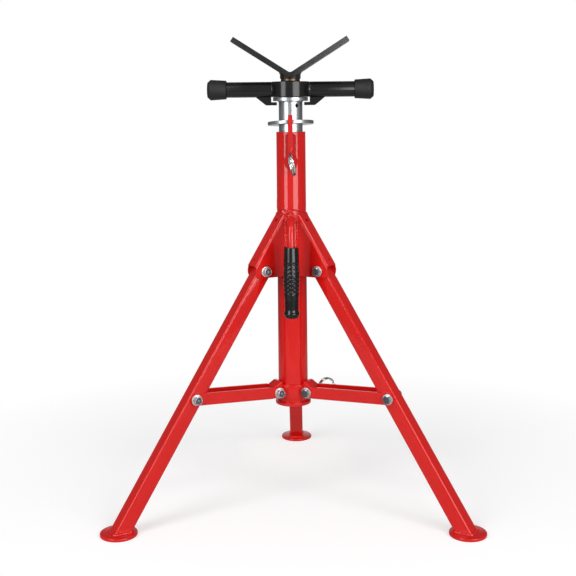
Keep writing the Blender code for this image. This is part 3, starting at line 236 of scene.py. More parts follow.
# Azimuth, height and radius of each hole
OPEN_HOLE = (LOWER_PIN_AZIMUTH, 0.187, 0.0043)
FOLDED_HOLE = (LOWER_PIN_AZIMUTH, 0.31107, 0.0043)
UPPER_PIN_PORT = (FRONT, 0.585, 0.0065)
ROUND = 96
WINDOW = 1.9
MERGE = 2e-6


def clouded(name, metallic, cloud, tones, gloss, grain=None):
    """A finish whose tone and roughness (lowest, gain) follow a cloudy noise (scale, detail)
    over a grain (scale, detail, strength, depth)."""
    material, finish, shader = new_finish(name, metallic)
    share = finish.noise(*cloud)
    finish.dress(shader, {"Base Color": finish.mix(share, *tones), "Roughness": gloss[0] + share * gloss[1]})
    if grain:
        scale, detail, strength, depth = grain
        finish.dress(shader, {"Normal": finish.bump(finish.noise(scale, detail), strength, depth)})
    return material


def powder_coat(name, deep, bright):
    """Gloss powder coat: faint orange peel, and a cloudy change of tone and gloss."""
    return clouded(name, 0.0, (14.0, 3.0), (deep, bright), (0.04, 0.05), (520.0, 1.0, 0.10, 0.0004))


def circle(count):
    """The angles of a whole turn, evenly spaced."""
    return np.linspace(0, math.tau, count, endpoint=False)


def unit(vectors):
    """Vectors drawn to a length of 1."""
    return vectors / np.linalg.norm(vectors, axis=-1, keepdims=True)


def skin(grid, along=False, around=True, capped=False):
    """A grid of points as a shell, closed round its rows, its columns or neither: (points,
    quads, caps). Capped, its first and last rows are closed by a flat face each."""
    rows, columns = grid.shape[:2]
    index = np.arange(rows * columns).reshape(rows, columns)
    caps = [index[0, ::-1].tolist(), index[-1].tolist()] if capped else []
    index = np.hstack([index, index[:, :1]]) if around else index
    index = np.vstack([index, index[:1]]) if along else index
    quads = np.stack((index[:-1, :-1], index[:-1, 1:], index[1:, 1:], index[1:, :-1]), -1)
    return grid.reshape(-1, 3), quads.reshape(-1, 4), caps


def zipped(*axes):
    """Points from their coordinates, a number or an array for each axis."""
    return np.stack(np.broadcast_arrays(*axes), -1)


def polar(radius, angle, level):
    """Points at a distance and an angle round the column's axis, and at a level."""
    return zipped(radius * np.cos(angle), radius * np.sin(angle), level)


def lathe(profile, sides=ROUND, axis="z"):
    """Points of a (radius, height) profile carried round an axis: (r cos t, r sin t, h)."""
    radius, height = np.asarray(profile, float).T[..., None]
    grid = polar(radius, circle(sides), height)
    return np.roll(grid, {"z": 0, "x": 1, "y": 2}[axis], -1)


def rounded(corners, steps=5, closed=True):
    """Outline through (a, b, radius) corners, each turned into an arc of its radius."""
    corners = np.asarray(corners, float)
    count = len(corners)
    outline = []
    for k, (a, b, radius) in enumerate(corners):
        here = np.array([a, b])
        if not radius or (not closed and k in (0, count - 1)):
            outline.append(here[None])
            continue
        before, after = unit(corners[k - 1, :2] - here), unit(corners[(k + 1) % count, :2] - here)
        half = math.acos(np.clip(before @ after, -1, 1)) / 2
        middle = unit(before + after)
        centre = here + middle * radius / math.sin(half)
        swing = np.linspace(-1, 1, steps + 1) * (math.pi / 2 - half)
        side = unit(after - middle * (after @ middle))
        arc = centre - radius * (np.cos(swing)[:, None] * middle - np.sin(swing)[:, None] * side)
        outline.append(arc)
    return np.concatenate(outline)


def set_up(name, mesh, body, coat, nodes, crease):
    """A smooth mesh with sharp creases as an object on a body, in a coat's material; the coat's slot name is not
    used.
    """
    slot, material = coat
    mesh.shade_smooth()
    mesh.set_sharp_from_angle(angle=math.radians(crease))
    mesh.materials.append(material)
    made = bpy.data.objects.new(name, mesh)
    link(made)
    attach(made, body)
    if nodes:
        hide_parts(*nodes)
    return made


def piece(name, skins, body, coat, nodes=(), crease=32, attributes=None):
    """Skins joined to one object on a body, doubles merged and faces turned outwards."""
    points = np.concatenate([shell[0] for shell in skins])
    faces, start = [], 0
    for shell, quads, caps in skins:
        faces += (quads + start).tolist() + [[k + start for k in cap] for cap in caps]
        start += len(shell)
    mesh = bpy.data.meshes.new(name)
    mesh.from_pydata(points.tolist(), [], faces)
    for title, values in (attributes or {}).items():
        mesh.attributes.new(title, "FLOAT", "POINT").data.foreach_set("value", values.astype(np.float32))
    work = bmesh.new()
    work.from_mesh(mesh)
    bmesh.ops.remove_doubles(work, verts=work.verts, dist=MERGE)
    bmesh.ops.dissolve_degenerate(work, dist=1e-7, edges=work.edges)
    bmesh.ops.recalc_face_normals(work, faces=work.faces)
    work.to_mesh(mesh)
    work.free()
    return set_up(name, mesh, body, coat, nodes, crease)


def window_loop(low, high, first, last):
    """Rows and columns of a grid's points round a window, in order."""
    across, up = np.arange(first, last), np.arange(low, high)
    rows = np.concatenate([0 * across + low, up, 0 * across + high, up[::-1] + 1])
    columns = np.concatenate([across, 0 * up + last, across[::-1] + 1, 0 * up + first])
    return rows, columns


def closing_in(edge, rim, rings):
    """Rings of points from a window's edge in to a hole's rim."""
    share = np.linspace(0, 1, rings)[:, None, None]
    return edge * (1 - share) + rim * share


def drilled_wall(radius, outside, ends, holes):
    """Cylinder wall with round holes: quads of a (turn, height) grid, but for a window
    WINDOW times as wide round each hole, which rings of quads fill from its edge to the rim."""
    step = math.tau / ROUND
    reach = [WINDOW * hole for _, _, hole in holes]
    levels = [np.linspace(h - w, h + w, 7) for (_, h, _), w in zip(holes, reach)]
    levels = np.unique(np.round(np.concatenate([np.array(ends), *levels]), 7))
    points, faces, _ = skin(polar(radius, *np.meshgrid(circle(ROUND), levels)))
    faces = faces.reshape(len(levels) - 1, ROUND, 4)
    keep = np.ones(faces.shape[:2], bool)
    skins, rims = [], []
    for (azimuth, height, hole), w in zip(holes, reach):
        low, high = np.searchsorted(levels, (height - w - 1e-6, height + w - 1e-6))
        first, last = (round((azimuth + side * w / outside) / step) for side in (-1, 1))
        keep[low:high, np.arange(first, last) % ROUND] = False
        rows, columns = window_loop(low, high, first, last)
        edge = zipped(columns * step, levels[rows])
        swing = np.arctan2(edge[:, 1] - height, (edge[:, 0] - azimuth) * radius)
        rim = zipped(azimuth + hole * np.cos(swing) / radius, height + hole * np.sin(swing))
        patch = polar(radius, *np.moveaxis(closing_in(edge, rim, 6), -1, 0))
        skins.append(skin(patch))
        rims.append(patch[-1])
    return [(points, faces[keep], []), *skins], rims


def drilled_tube(radius, bore, ends, lip, holes):
    """Tube with rounded lips and holes through its wall."""
    straight = (ends[0] + lip, ends[1] - lip)
    outer, outer_rims = drilled_wall(radius, radius, straight, holes)
    inner, inner_rims = drilled_wall(bore, radius, straight, holes)
    walls = [skin(np.stack(pair)) for pair in zip(outer_rims, inner_rims)]
    lips = []
    for end, away in ((ends[0], lip), (ends[1], -lip)):
        profile = rounded([
            (radius, end + away, 0), (radius, end, lip), (bore, end, lip), (bore, end + away, 0),
        ], closed=False)
        lips.append(skin(lathe(profile)))
    return outer + inner + walls + lips


red = "red_powder_coat", powder_coat("red_powder_coat", (0.58, 0.0065, 0.005, 1), (0.68, 0.0100, 0.0075, 1))
column_holes = [OPEN_HOLE, FOLDED_HOLE, UPPER_PIN_PORT]
column_skins = drilled_tube(COLUMN_RADIUS, COLUMN_BORE, COLUMN_ENDS, COLUMN_LIP, column_holes)
piece("column_tube", column_skins, "frame", red, ["column"])


# Base flange: a ring welded round the column's lower end with a rippled bead
# above it, which stops the collar from sliding off.
FLANGE_RADIUS = 0.0305
FLANGE_LEVELS = (0.1655, 0.1705)
FLANGE_EDGE = 0.0009
BEAD_PITCH = 0.0026
BEAD_SIDES = 12
BEAD_SEAT = 0.0004


def solid_ring(bore, radius, levels, edges, sides=ROUND, axis="z"):
    """Turned ring with an edge radius at each corner: low inside, low outside, high
    outside and high inside."""
    spots = ((bore, levels[0]), (radius, levels[0]), (radius, levels[1]), (bore, levels[1]))
    profile = rounded([(*spot, edge) for spot, edge in zip(spots, edges)])
    return skin(lathe(profile, sides, axis), along=True)


def sweep(path, radius, sides, closed=False, up=(0.0, 1.0, 0.0)):
    """Rings round a path and square to it: p + r (side cos a + rise sin a)."""
    ahead = unit(np.roll(path, -1, 0) - np.roll(path, 1, 0) if closed else np.gradient(path, axis=0))
    side = unit(np.cross(ahead, up))
    rise = np.cross(side, ahead)
    angle = circle(sides)[None, :, None]
    return path[:, None] + radius * (side[:, None] * np.cos(angle) + rise[:, None] * np.sin(angle))


def way_along(path):
    """How far along a path each of its points is."""
    return np.concatenate([[0], np.cumsum(np.linalg.norm(np.diff(path, axis=0), axis=1))])


def bead(path, width, closed=False, up=(0.0, 0.0, 1.0), pitch=BEAD_PITCH, ripple=0.16):
    """Weld bead along a path: a round cord of radius w (1 - q + q |sin(pi s / p + 0.8 cos a)|)
    (1 + 0.1 sin(410 s) sin(173 s + 1)), with s the way along it and a the angle round it,
    and ends that taper to a point."""
    s = way_along(path)[:, None]
    swell = 1 - ripple + ripple * np.abs(np.sin(math.pi * s / pitch + 0.8 * np.cos(circle(BEAD_SIDES))))
    wander = 1 + 0.10 * np.sin(s * 410) * np.sin(s * 173 + 1)
    end = 1.0 if closed else np.sqrt(np.clip(np.minimum(s, s[-1] - s) / width, 0, 1) + 1e-4)
    return skin(sweep(path, (width * swell * wander * end)[..., None], BEAD_SIDES, closed, up), along=closed)


def ring_path(radius, level):
    """A level circle round the column."""
    return polar(radius, circle(160), level)


flange = solid_ring(COLUMN_RADIUS - 0.001, FLANGE_RADIUS, FLANGE_LEVELS, (0, FLANGE_EDGE, FLANGE_EDGE, 0))
flange_bead = bead(ring_path(COLUMN_RADIUS + BEAD_SEAT, FLANGE_LEVELS[1]), 0.0014, closed=True)
piece("base_flange_ring", [flange, flange_bead], "frame", red, ["base_flange"])


# Leg brackets: 2.5 mm sheet folded to a channel over each leg's top, its two
# flanges coped to the column and welded down both sides and across the top.
LEG_SIDES = {"left": math.radians(-150.0), "right": math.radians(-30.0), "rear": math.radians(90.0)}
PIVOT_RADIUS = 0.0591
PIVOT_HEIGHT = 0.400
FOOT_RADIUS = 0.3204
LEAN = math.atan2(FOOT_RADIUS - PIVOT_RADIUS, PIVOT_HEIGHT)
BRACKET_HALF = 0.0155
BRACKET_WEB = 0.0223
BRACKET_BEND = 0.0042
BRACKET_SHEET = 0.0025
BRACKET_FOOT = 0.389
TAB_RADIUS = 0.0195
WEB_END = 0.003
SEAT = 0.0003
BRACKET_LEVELS = (-0.03, 0.107)
WEB_WINDOW = 1.3
# (height up the web from the pivot, radius)
WEB_HOLES = ((0.0085, 0.0020), (0.0865, 0.0030))


def turned(points, azimuth):
    """Points turned round the column's axis."""
    c, s = math.cos(azimuth), math.sin(azimuth)
    return points @ np.array([[c, s, 0], [-s, c, 0], [0, 0, 1]])


def leaned(points, azimuth):
    """Points of a leg's own frame, origin at its pivot and Z up its length, set in place."""
    c, s = math.cos(LEAN), math.sin(LEAN)
    x, y, z = np.moveaxis(points, -1, 0)
    return turned(zipped(PIVOT_RADIUS + x * c - z * s, y, PIVOT_HEIGHT + x * s + z * c), azimuth)


def web_height(radius):
    """How high the bracket's sloping web passes at a distance from the column's axis."""
    along = (PIVOT_RADIUS - radius + BRACKET_WEB * math.cos(LEAN)) / math.sin(LEAN)
    return PIVOT_HEIGHT + along * math.cos(LEAN) + BRACKET_WEB * math.sin(LEAN)


def channel_section(half, web, bend, root):
    """(x, y) of a channel's section: up a flange, round a bend, over the web and back down."""
    swing = np.linspace(0, math.pi / 2, 9)
    arc = zipped(web - bend + bend * np.sin(swing), half - bend + bend * np.cos(swing))
    x = np.concatenate([np.linspace(root, 0, 8)[:-1], (web - bend) * np.sin(np.linspace(0, math.pi / 2, 14)[:-1])])
    side = np.concatenate([zipped(x, half), arc])
    flat = half - bend
    y = np.concatenate([[flat - 0.0004], np.linspace(flat, -flat, 13)[1:-1], [0.0004 - flat]])
    return np.concatenate([side, zipped(web, y), side[::-1] * (1, -1)])


def channel_wall(section, levels):
    """The section drawn along the leg: z is held under the column's wall, (x c + p - r) / s,
    and over the level foot, (f - x s) / c, the tabs' round, -sqrt(R^2 - x^2), and the web's end."""
    c, s = math.cos(LEAN), math.sin(LEAN)
    x, y = section.T
    wall = np.sqrt((COLUMN_RADIUS + SEAT) ** 2 - y ** 2)
    high = (x * c + PIVOT_RADIUS - wall) / s
    drop = BRACKET_FOOT - PIVOT_HEIGHT
    low = np.maximum((drop - x * s) / c, -np.sqrt(np.maximum(TAB_RADIUS ** 2 - x ** 2, WEB_END ** 2)))
    z = np.clip(levels[:, None], low, np.maximum(high, low))
    return zipped(x, y, z)


def punched(grid, holes):
    """A grid of points over a flat web with round holes: each has a window that rings of
    quads fill from its edge to the rim."""
    points, faces, _ = skin(grid, around=False)
    rows, columns = grid.shape[:2]
    faces = faces.reshape(rows - 1, columns - 1, 4)
    keep = np.ones(faces.shape[:2], bool)
    skins, rims = [], []
    for up, radius in holes:
        middle, half = columns // 2, WEB_WINDOW * radius
        low, high = np.searchsorted(grid[:, middle, 2], (up - half, up + half)) - (1, 0)
        first, last = middle - 3, middle + 3
        keep[low:high, first:last] = False
        edge = grid[window_loop(low, high, first, last)]
        swing = np.arctan2(edge[:, 2] - up, edge[:, 1])
        rim = zipped(edge[:, 0], radius * np.cos(swing), up + radius * np.sin(swing))
        skins.append(skin(closing_in(edge, rim, 5)))
        rims.append(rim)
    return [(points, faces[keep], []), *skins], rims


def bracket_sheet(azimuth):
    """Channel bent from sheet: its outer and inner walls, the cut edges between them and
    the walls of the holes in its web."""
    c, s = math.cos(LEAN), math.sin(LEAN)
    levels = np.linspace(*BRACKET_LEVELS, 92)
    walls = []
    for inset in (0, BRACKET_SHEET):
        half = BRACKET_HALF - inset
        reach = math.sqrt((COLUMN_RADIUS + SEAT) ** 2 - half ** 2)
        root = s * (BRACKET_FOOT - PIVOT_HEIGHT) - c * (PIVOT_RADIUS - reach)
        walls.append(channel_wall(channel_section(half, BRACKET_WEB - inset, BRACKET_BEND - inset, root), levels))
    (outer, outer_rims), (inner, inner_rims) = (punched(wall, WEB_HOLES) for wall in walls)
    borders = lambda wall: (wall[0], wall[-1], wall[:, 0], wall[:, -1])
    edges = [skin(np.stack(pair), around=False) for pair in zip(*map(borders, walls))]
    bores = [skin(np.stack(pair)) for pair in zip(outer_rims, inner_rims)]
    return [(leaned(shell, azimuth), *faces) for shell, *faces in outer + inner + edges + bores]


def bracket_beads(azimuth):
    """Beads down both flanges, and a thinner one over the top along the cope."""
    beads = []
    out = math.sqrt(COLUMN_RADIUS ** 2 - BRACKET_HALF ** 2)
    outward = (math.cos(azimuth), math.sin(azimuth), 0)
    level = np.linspace(BRACKET_FOOT + 0.003, web_height(out) - 0.005, 300)
    for side in (-1, 1):
        path = zipped(out + BEAD_SEAT, side * (BRACKET_HALF + BEAD_SEAT), level)
        beads.append(bead(turned(path, azimuth), 0.0032, up=outward, pitch=0.0040, ripple=0.38))
    across = np.linspace(0.004 - BRACKET_HALF, BRACKET_HALF - 0.004, 110)
    radius = np.sqrt(COLUMN_RADIUS ** 2 - across ** 2)
    path = zipped(radius + BEAD_SEAT, across, web_height(radius))
    beads.append(bead(turned(path, azimuth), 0.0016, pitch=0.0038, ripple=0.30))
    return beads


for side, azimuth in LEG_SIDES.items():
    piece("leg_bracket_%s_sheet" % side, bracket_sheet(azimuth), "frame", red, ["leg_bracket_" + side])
    piece("leg_bracket_%s_welds" % side, bracket_beads(azimuth), "frame", red, crease=60)


# Legs: 25.4 mm square tube with rounded corners, hung on a bolt in the bracket
# and cut level at the bottom, where it is welded all round to a pressed pad.
LEG_SIZE = 0.0254
LEG_WALL = 0.002
LEG_CORNER = 0.0032
LEG_TOP = 0.005
PAD_RADIUS = 0.030
PAD_THICKNESS = 0.005
LEG_LIP = 0.0004


def square(size, corner, steps=7):
    """Outline of a square with rounded corners."""
    half = size / 2
    return rounded([(x, y, corner) for x, y in ((half, -half), (half, half), (-half, half), (-half, -half))], steps)


def leg_cut(outline, level):
    """How far up its own length each point of a leg's outline meets a level plane."""
    return (level - PIVOT_HEIGHT - outline[:, 0] * math.sin(LEAN)) / math.cos(LEAN)


def leg_tube(azimuth):
    """Square tube: rings of its outline at the foot's cut and at the top, outside and inside."""
    outer, inner = square(LEG_SIZE, LEG_CORNER), square(LEG_SIZE - 2 * LEG_WALL, LEG_CORNER - LEG_WALL)
    foot = PAD_THICKNESS + SEAT
    top = np.full(len(outer), LEG_TOP)
    drawn = outer * (1 - 2 * LEG_LIP / LEG_SIZE)
    rows = (
        (outer, leg_cut(outer, foot)), (outer, top - LEG_LIP), (drawn, top), (inner, top),
        (inner, leg_cut(inner, foot)),
    )
    return skin(leaned(np.stack([np.column_stack(row) for row in rows]), azimuth), along=True)


def foot_pad(azimuth):
    """Round pad with a rolled edge."""
    profile = rounded([
        (0, 0, 0), (PAD_RADIUS, 0, 0.0011), (PAD_RADIUS, PAD_THICKNESS, 0.0016), (0, PAD_THICKNESS, 0),
    ], closed=False)
    return skin(lathe(profile, 72) + turned(np.array([FOOT_RADIUS, 0, 0]), azimuth))


def foot_bead(azimuth):
    """Bead all round the leg's foot, thicker inside the lean than outside it."""
    outline = square(LEG_SIZE + 0.0012, LEG_CORNER + 0.0006, 9)
    loop = np.concatenate([outline, outline[:1]])
    way = way_along(loop)
    even = np.linspace(0, way[-1], 180, endpoint=False)
    outline = zipped(*(np.interp(even, way, side) for side in loop.T))
    path = np.column_stack([outline, leg_cut(outline, PAD_THICKNESS + BEAD_SEAT)])
    return bead(leaned(path, azimuth), 0.0023, closed=True, pitch=0.0042)


for side, azimuth in LEG_SIDES.items():
    body = "leg_%s_body" % side
    piece("leg_%s_tube" % side, [leg_tube(azimuth)], body, red, ["leg_" + side], crease=40)
    piece("foot_%s_pad" % side, [foot_pad(azimuth)], body, red, ["foot_pad_" + side])
    piece("foot_%s_weld" % side, [foot_bead(azimuth)], body, red, crease=60)


# Collar: a rolled steel ring with a rounded top lip that slides on the column. A lug for
# each brace and the pin boss on its right rear side are welded on.
COLLAR_RADIUS = 0.0295
COLLAR_BORE = 0.0259
COLLAR_LEVELS = (0.1785, 0.202)
LUG_RADIUS = 0.0355
LUG_HEIGHT = 0.190
LUG_END = 0.009
LUG_HALF = 0.0127


def slab(outline, low, high, edge, azimuth=0.0):
    """An (x, z) outline made solid along Y and turned round the column, its edges
    rounded by drawing the outline in by r (1 - sin t) as it nears each face."""
    outline = np.asarray(outline, float)
    ahead = unit(np.roll(outline, -1, 0) - outline)
    normal = zipped(ahead[:, 1], -ahead[:, 0])
    area = np.sum(outline[:, 0] * np.roll(outline[:, 1], -1) - np.roll(outline[:, 0], -1) * outline[:, 1])
    normal = normal * (1 if area > 0 else -1)
    both = normal + np.roll(normal, 1, 0)
    inward = -2 * both / np.sum(both * both, axis=1)[:, None]
    swing = np.linspace(0, math.pi / 2, 4)
    drawn = np.concatenate([edge * (1 - np.sin(swing)), edge * (1 - np.sin(swing[::-1]))])
    level = np.concatenate([low + edge * (1 - np.cos(swing)), high - edge * (1 - np.cos(swing[::-1]))])
    flat = outline[None] + inward[None] * drawn[:, None, None]
    return skin(turned(zipped(flat[..., 0], level[:, None], flat[..., 1]), azimuth), capped=True)


def collar_lug(azimuth):
    """Lug between a brace's flanges, with a round end and an ear up the ring."""
    root, tip = COLLAR_BORE + 0.001, LUG_RADIUS + LUG_END
    outline = rounded([
        (root, -LUG_END, 0), (tip, -LUG_END, LUG_END), (tip, LUG_END, LUG_END),
        (root + 0.004, 0.017, 0.002), (root, 0.017, 0),
    ], 8) + np.array([0, LUG_HEIGHT])
    return slab(outline, -LUG_HALF, LUG_HALF, 0.0006, azimuth)


collar = solid_ring(COLLAR_BORE, COLLAR_RADIUS, COLLAR_LEVELS, (0.0004, 0.0008, 0.0017, 0.0006))
piece("collar_ring", [collar, *map(collar_lug, LEG_SIDES.values())], "collar_body", red, ["collar"])


# Braces: short channels of the same sheet with round ends, open on top, each
# bolted to a lug of the collar and through its leg.
SHEET_EDGE = 0.00035


def recast(name, node, body, coat):
    """A folded or cut piece as the CAD has it, its triangles joined to flat faces
    and its sharp edges broken by a narrow bevel."""
    work = bmesh.new()
    work.from_mesh(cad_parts[node].data)
    bmesh.ops.remove_doubles(work, verts=work.verts, dist=MERGE)
    bmesh.ops.dissolve_limit(work, angle_limit=math.radians(0.6), verts=work.verts, edges=work.edges)
    bmesh.ops.recalc_face_normals(work, faces=work.faces)
    mesh = bpy.data.meshes.new(name)
    work.to_mesh(mesh)
    work.free()
    bevel = set_up(name, mesh, body, coat, [node], 38).modifiers.new("broken_edges", "BEVEL")
    bevel.width = SHEET_EDGE
    bevel.segments = 2
    bevel.limit_method = "ANGLE"
    bevel.angle_limit = math.radians(42)
    bevel.harden_normals = True


for side in LEG_SIDES:
    recast("brace_%s_channel" % side, "brace_" + side, "brace_%s_body" % side, red)


# Bolts: M8 hexagon bolts with plain washers and nylon lock nuts, zinc plated,
# at each leg's pivot and at both ends of each brace.
HEX_HALF = 0.0065
HEX_THICK = 0.0053
WASHER_RADIUS = 0.009
WASHER_THICK = 0.0016
NUT_THICK = 0.0052
NUT_RIM = 0.0022
NYLON_RADIUS = 0.0059
SHANK_RADIUS = 0.004
SHANK_STOP = 0.013
HEX_SIDES = 72
# (radius, distance from the tip) along the bolt's domed end
BOLT_END = ((0.0038, 0.0014), (0.0033, 0.0010), (0.0026, 0.0006), (0.0017, 0.0003), (0.0008, 0.0001), (0, 0))
# How frosted and how dark each shell of a nut and of a head is; a nut's bolt end is painted dark as painted shade,
# and a head's outer face is painted dark as a painted dark reflection
NUT_MARKS = ((0.75, 0.3, 0.9, 0.0, 0.0), (0.0, 0.0, 0.0, 1.0, 0.7))
HEAD_MARKS = ((0.75, 0.0, 0.0), (0.0, 0.0, 0.0))
# A head's outer face painted dark: a painted dark reflection
PAINTED_DARK_FACE = 0.85
BOLT_SHOWS = 0.0018
# How far out and up from a brace's inner bolt its outer bolt is
BRACE_REACH = (0.18953557 - LUG_RADIUS, 0.20032824 - LUG_HEIGHT)


def plated_steel(name):
    """Zinc plating: smooth and cloudy on the hexagons, frosted on the washers, and dark nylon
    where the piece says so, which also paints shade on a bolt's end and a dark reflection on a head's face."""
    material, finish, shader = new_finish(name, 1.0)
    grain = finish.noise(900.0, 2.0)
    cloud = finish.noise(260.0, 3.0)
    # The nylon mark also carries painted shade on bolt ends and a painted dark reflection on head faces
    nylon, frosted = finish.mark("nylon"), finish.mark("frosted")
    metal = finish.mix(cloud.above(0.5, 0.3), (0.27, 0.28, 0.30, 1), (0.50, 0.51, 0.52, 1))
    metal = finish.mix(frosted, metal, (0.88, 0.88, 0.87, 1))
    finish.dress(shader, {
        "Base Color": finish.mix(nylon, metal, (0.006, 0.008, 0.016, 1)), "Metallic": 1 - nylon,
        "Roughness": 0.12 + grain * 0.08 + frosted * 0.24 + nylon * 0.12,
        "Normal": finish.bump(grain, 0.10, 0.0002),
    })
    return material


def hexagon():
    """The radius of a hexagon at each of the turns of a lathe."""
    turn = circle(HEX_SIDES)
    return HEX_HALF / np.cos((turn + math.pi / 6) % (math.pi / 3) - math.pi / 6)


def hex_block(levels):
    """Hexagon with its corners chamfered: radius min(hexagon, cone), at each
    (cone radius, height)."""
    cone, height = np.asarray(levels, float).T[..., None]
    radius, turn = np.minimum(hexagon(), cone), circle(HEX_SIDES)
    return skin(zipped(radius * np.sin(turn), height, radius * np.cos(turn)))


def washer(low):
    """Plain washer round the bolt's axis."""
    return solid_ring(0.0042, WASHER_RADIUS, (low, low + WASHER_THICK), (0, 0.0004, 0.0005, 0), 48, "y")


def bolt_head(face):
    """Chamfered hexagon head that ends at a washer's face, and its washer."""
    seat = face - WASHER_THICK
    end = seat - HEX_THICK
    chamfer = np.linspace((0.0058, end), (0.0076, end + 0.0009), 5)
    return [washer(seat), hex_block([(0, end), *chamfer, (0.008, end + 0.0011), (0.008, seat), (0, seat)])]


def lock_nut(face, tip):
    """Washer, chamfered hexagon, the rolled rim with its nylon ring, and the bolt's end."""
    seat = face + WASHER_THICK
    top = seat + NUT_THICK
    rim = top + NUT_RIM
    lower = np.linspace((0.0062, seat), (0.0076, seat + 0.0007), 5)
    upper = np.linspace((0.0076, top - 0.0008), (0.0064, top), 5)
    collar = rounded([
        (0.0064, top - 0.001, 0), (0.0064, rim, 0.0004), (NYLON_RADIUS, rim, 0.0001),
        (NYLON_RADIUS, rim - 0.0005, 0),
    ], closed=False)
    ring = [(NYLON_RADIUS, rim - 0.0005), (0.0039, rim - 0.0005), (0.0039, rim - 0.0015)]
    end = [(0.0038, top), *((radius, tip - drop) for radius, drop in BOLT_END)]
    block = hex_block([(0, seat), *lower, *upper, (0.0064, top)])
    return [washer(face), block, *(skin(lathe(profile, 48, "y")) for profile in (collar, ring, end))]


def bolt_marks(skins):
    """How frosted each shell is, the washer and a nut's rim most, and how dark: a head's outer
    face, painted dark as a painted reflection, the nylon ring, and the bolt's end inside it, painted dark as
    painted shade."""
    is_nut = len(skins) > 3
    rows = NUT_MARKS if is_nut else HEAD_MARKS
    frosted, dark = ([np.full(len(shell[0]), share) for shell, share in zip(skins, row)] for row in rows)
    if not is_nut:
        # Painted dark reflection on the head's flat outer face
        dark[1][:2 * HEX_SIDES] = PAINTED_DARK_FACE
    return {"frosted": np.concatenate(frosted), "nylon": np.concatenate(dark)}


def set_bolt(skins, azimuth, out, up):
    """Points of a bolt, whose axis is Y, moved out and up and turned round the column."""
    return [(turned(points + np.array([out, 0, up]), azimuth), *faces) for points, *faces in skins]


plated = "plated_bolt", plated_steel("zinc_plated_steel")
NEAR_FACE = -BRACKET_HALF - SEAT
NUT_FACE = BRACKET_HALF + SEAT
BOLT_TIP = NUT_FACE + WASHER_THICK + NUT_THICK + NUT_RIM + BOLT_SHOWS
for side, azimuth in LEG_SIDES.items():
    spots = {
        "leg_pivot": ("frame", PIVOT_RADIUS, PIVOT_HEIGHT),
        "brace_inner": ("collar_body", LUG_RADIUS, LUG_HEIGHT),
        "brace_outer": ("brace_%s_body" % side, LUG_RADIUS + BRACE_REACH[0], LUG_HEIGHT + BRACE_REACH[1]),
    }
    for place, (body, out, up) in spots.items():
        head, nut = bolt_head(NEAR_FACE), lock_nut(NUT_FACE, BOLT_TIP)
        stop = -SHANK_STOP if place == "brace_outer" else NUT_FACE
        shank = skin(lathe([(0, NEAR_FACE), (SHANK_RADIUS, NEAR_FACE), (SHANK_RADIUS, stop), (0, stop)], 32, "y"))
        for part, title, node in ((head + [shank], "hex_bolt", "bolt"), (nut, "lock_nut", "nut")):
            label, replaced = "%s_%s_%s" % (place, side, title), ["%s_%s_%s" % (place, node, side)]
            shells = set_bolt(part, azimuth, out, up)
            piece(label, shells, body, plated, replaced, crease=18, attributes=bolt_marks(part))


# Carry handle: a 12.7 mm rod bent down from the column, welded to it, with a
# dipped vinyl grip that has rows of raised lozenges under a smooth top.
ROD_RADIUS = 0.00635
ROD_HEIGHT = 0.487
ROD_REACH = 0.068
ROD_BEND = 0.025
GRIP_TOP = 0.4447
GRIP_LENGTH = 0.1181
GRIP_RADIUS = 0.0133
BUMP_PITCH = 0.0070
BUMP_HEIGHT = 0.0011
BUMP_GROUND = 0.0007
POOL_LIFT = 0.0026
POOL_SINK = 0.0004
POOL_TURN = 1.28
GRIP_SIDES = 126
# How far down the grip and how wide it is there, as shares of its length and radius
GRIP_SHARES = np.array([
    (0.000, 0.880), (0.012, 0.917), (0.180, 0.965), (0.390, 1.060), (0.520, 1.050), (0.630, 0.980), (0.750, 0.890),
    (0.885, 0.870), (0.910, 0.910), (0.932, 1.010), (0.950, 1.005), (0.966, 0.940), (0.988, 0.880), (1.000, 0.740),
])


def handle_rod():
    """Level out of the column, a quarter bend, and down into the grip."""
    swing = np.linspace(math.pi / 2, 0, 20)
    corner = np.array([ROD_REACH - ROD_BEND, 0, ROD_HEIGHT - ROD_BEND])
    bend = corner + ROD_BEND * zipped(np.cos(swing), 0, np.sin(swing))
    path = np.concatenate([[(0.0225, 0, ROD_HEIGHT)], bend, [(ROD_REACH, 0, GRIP_TOP - GRIP_LENGTH + 0.0065)]])
    return skin(turned(sweep(path, ROD_RADIUS, 24), FRONT), capped=True)


def saddle_path(radius, wall, height, azimuth, count, out=0.0):
    """Where a level round piece meets a round wall: (sqrt(w^2 - y^2) + e, y, h + r sin t),
    with y = r cos t."""
    across, up = radius * np.cos(circle(count)), radius * np.sin(circle(count))
    return turned(zipped(np.sqrt(wall ** 2 - across ** 2) + out, across, height + up), azimuth)


def handle_beads():
    """A heavy bead round the rod, and a short run up the column's left side."""
    path = saddle_path(ROD_RADIUS + 0.0008, COLUMN_RADIUS, ROD_HEIGHT, FRONT, 120, 0.0005)
    ring = bead(path, 0.0024, closed=True, up=(0, 1, 0), pitch=0.0036)
    azimuth = FRONT - math.radians(73)
    run = polar(COLUMN_RADIUS, azimuth, np.linspace(0.503, 0.5215, 80))
    return [ring, bead(run, 0.0012, up=(math.cos(azimuth), math.sin(azimuth), 0))]


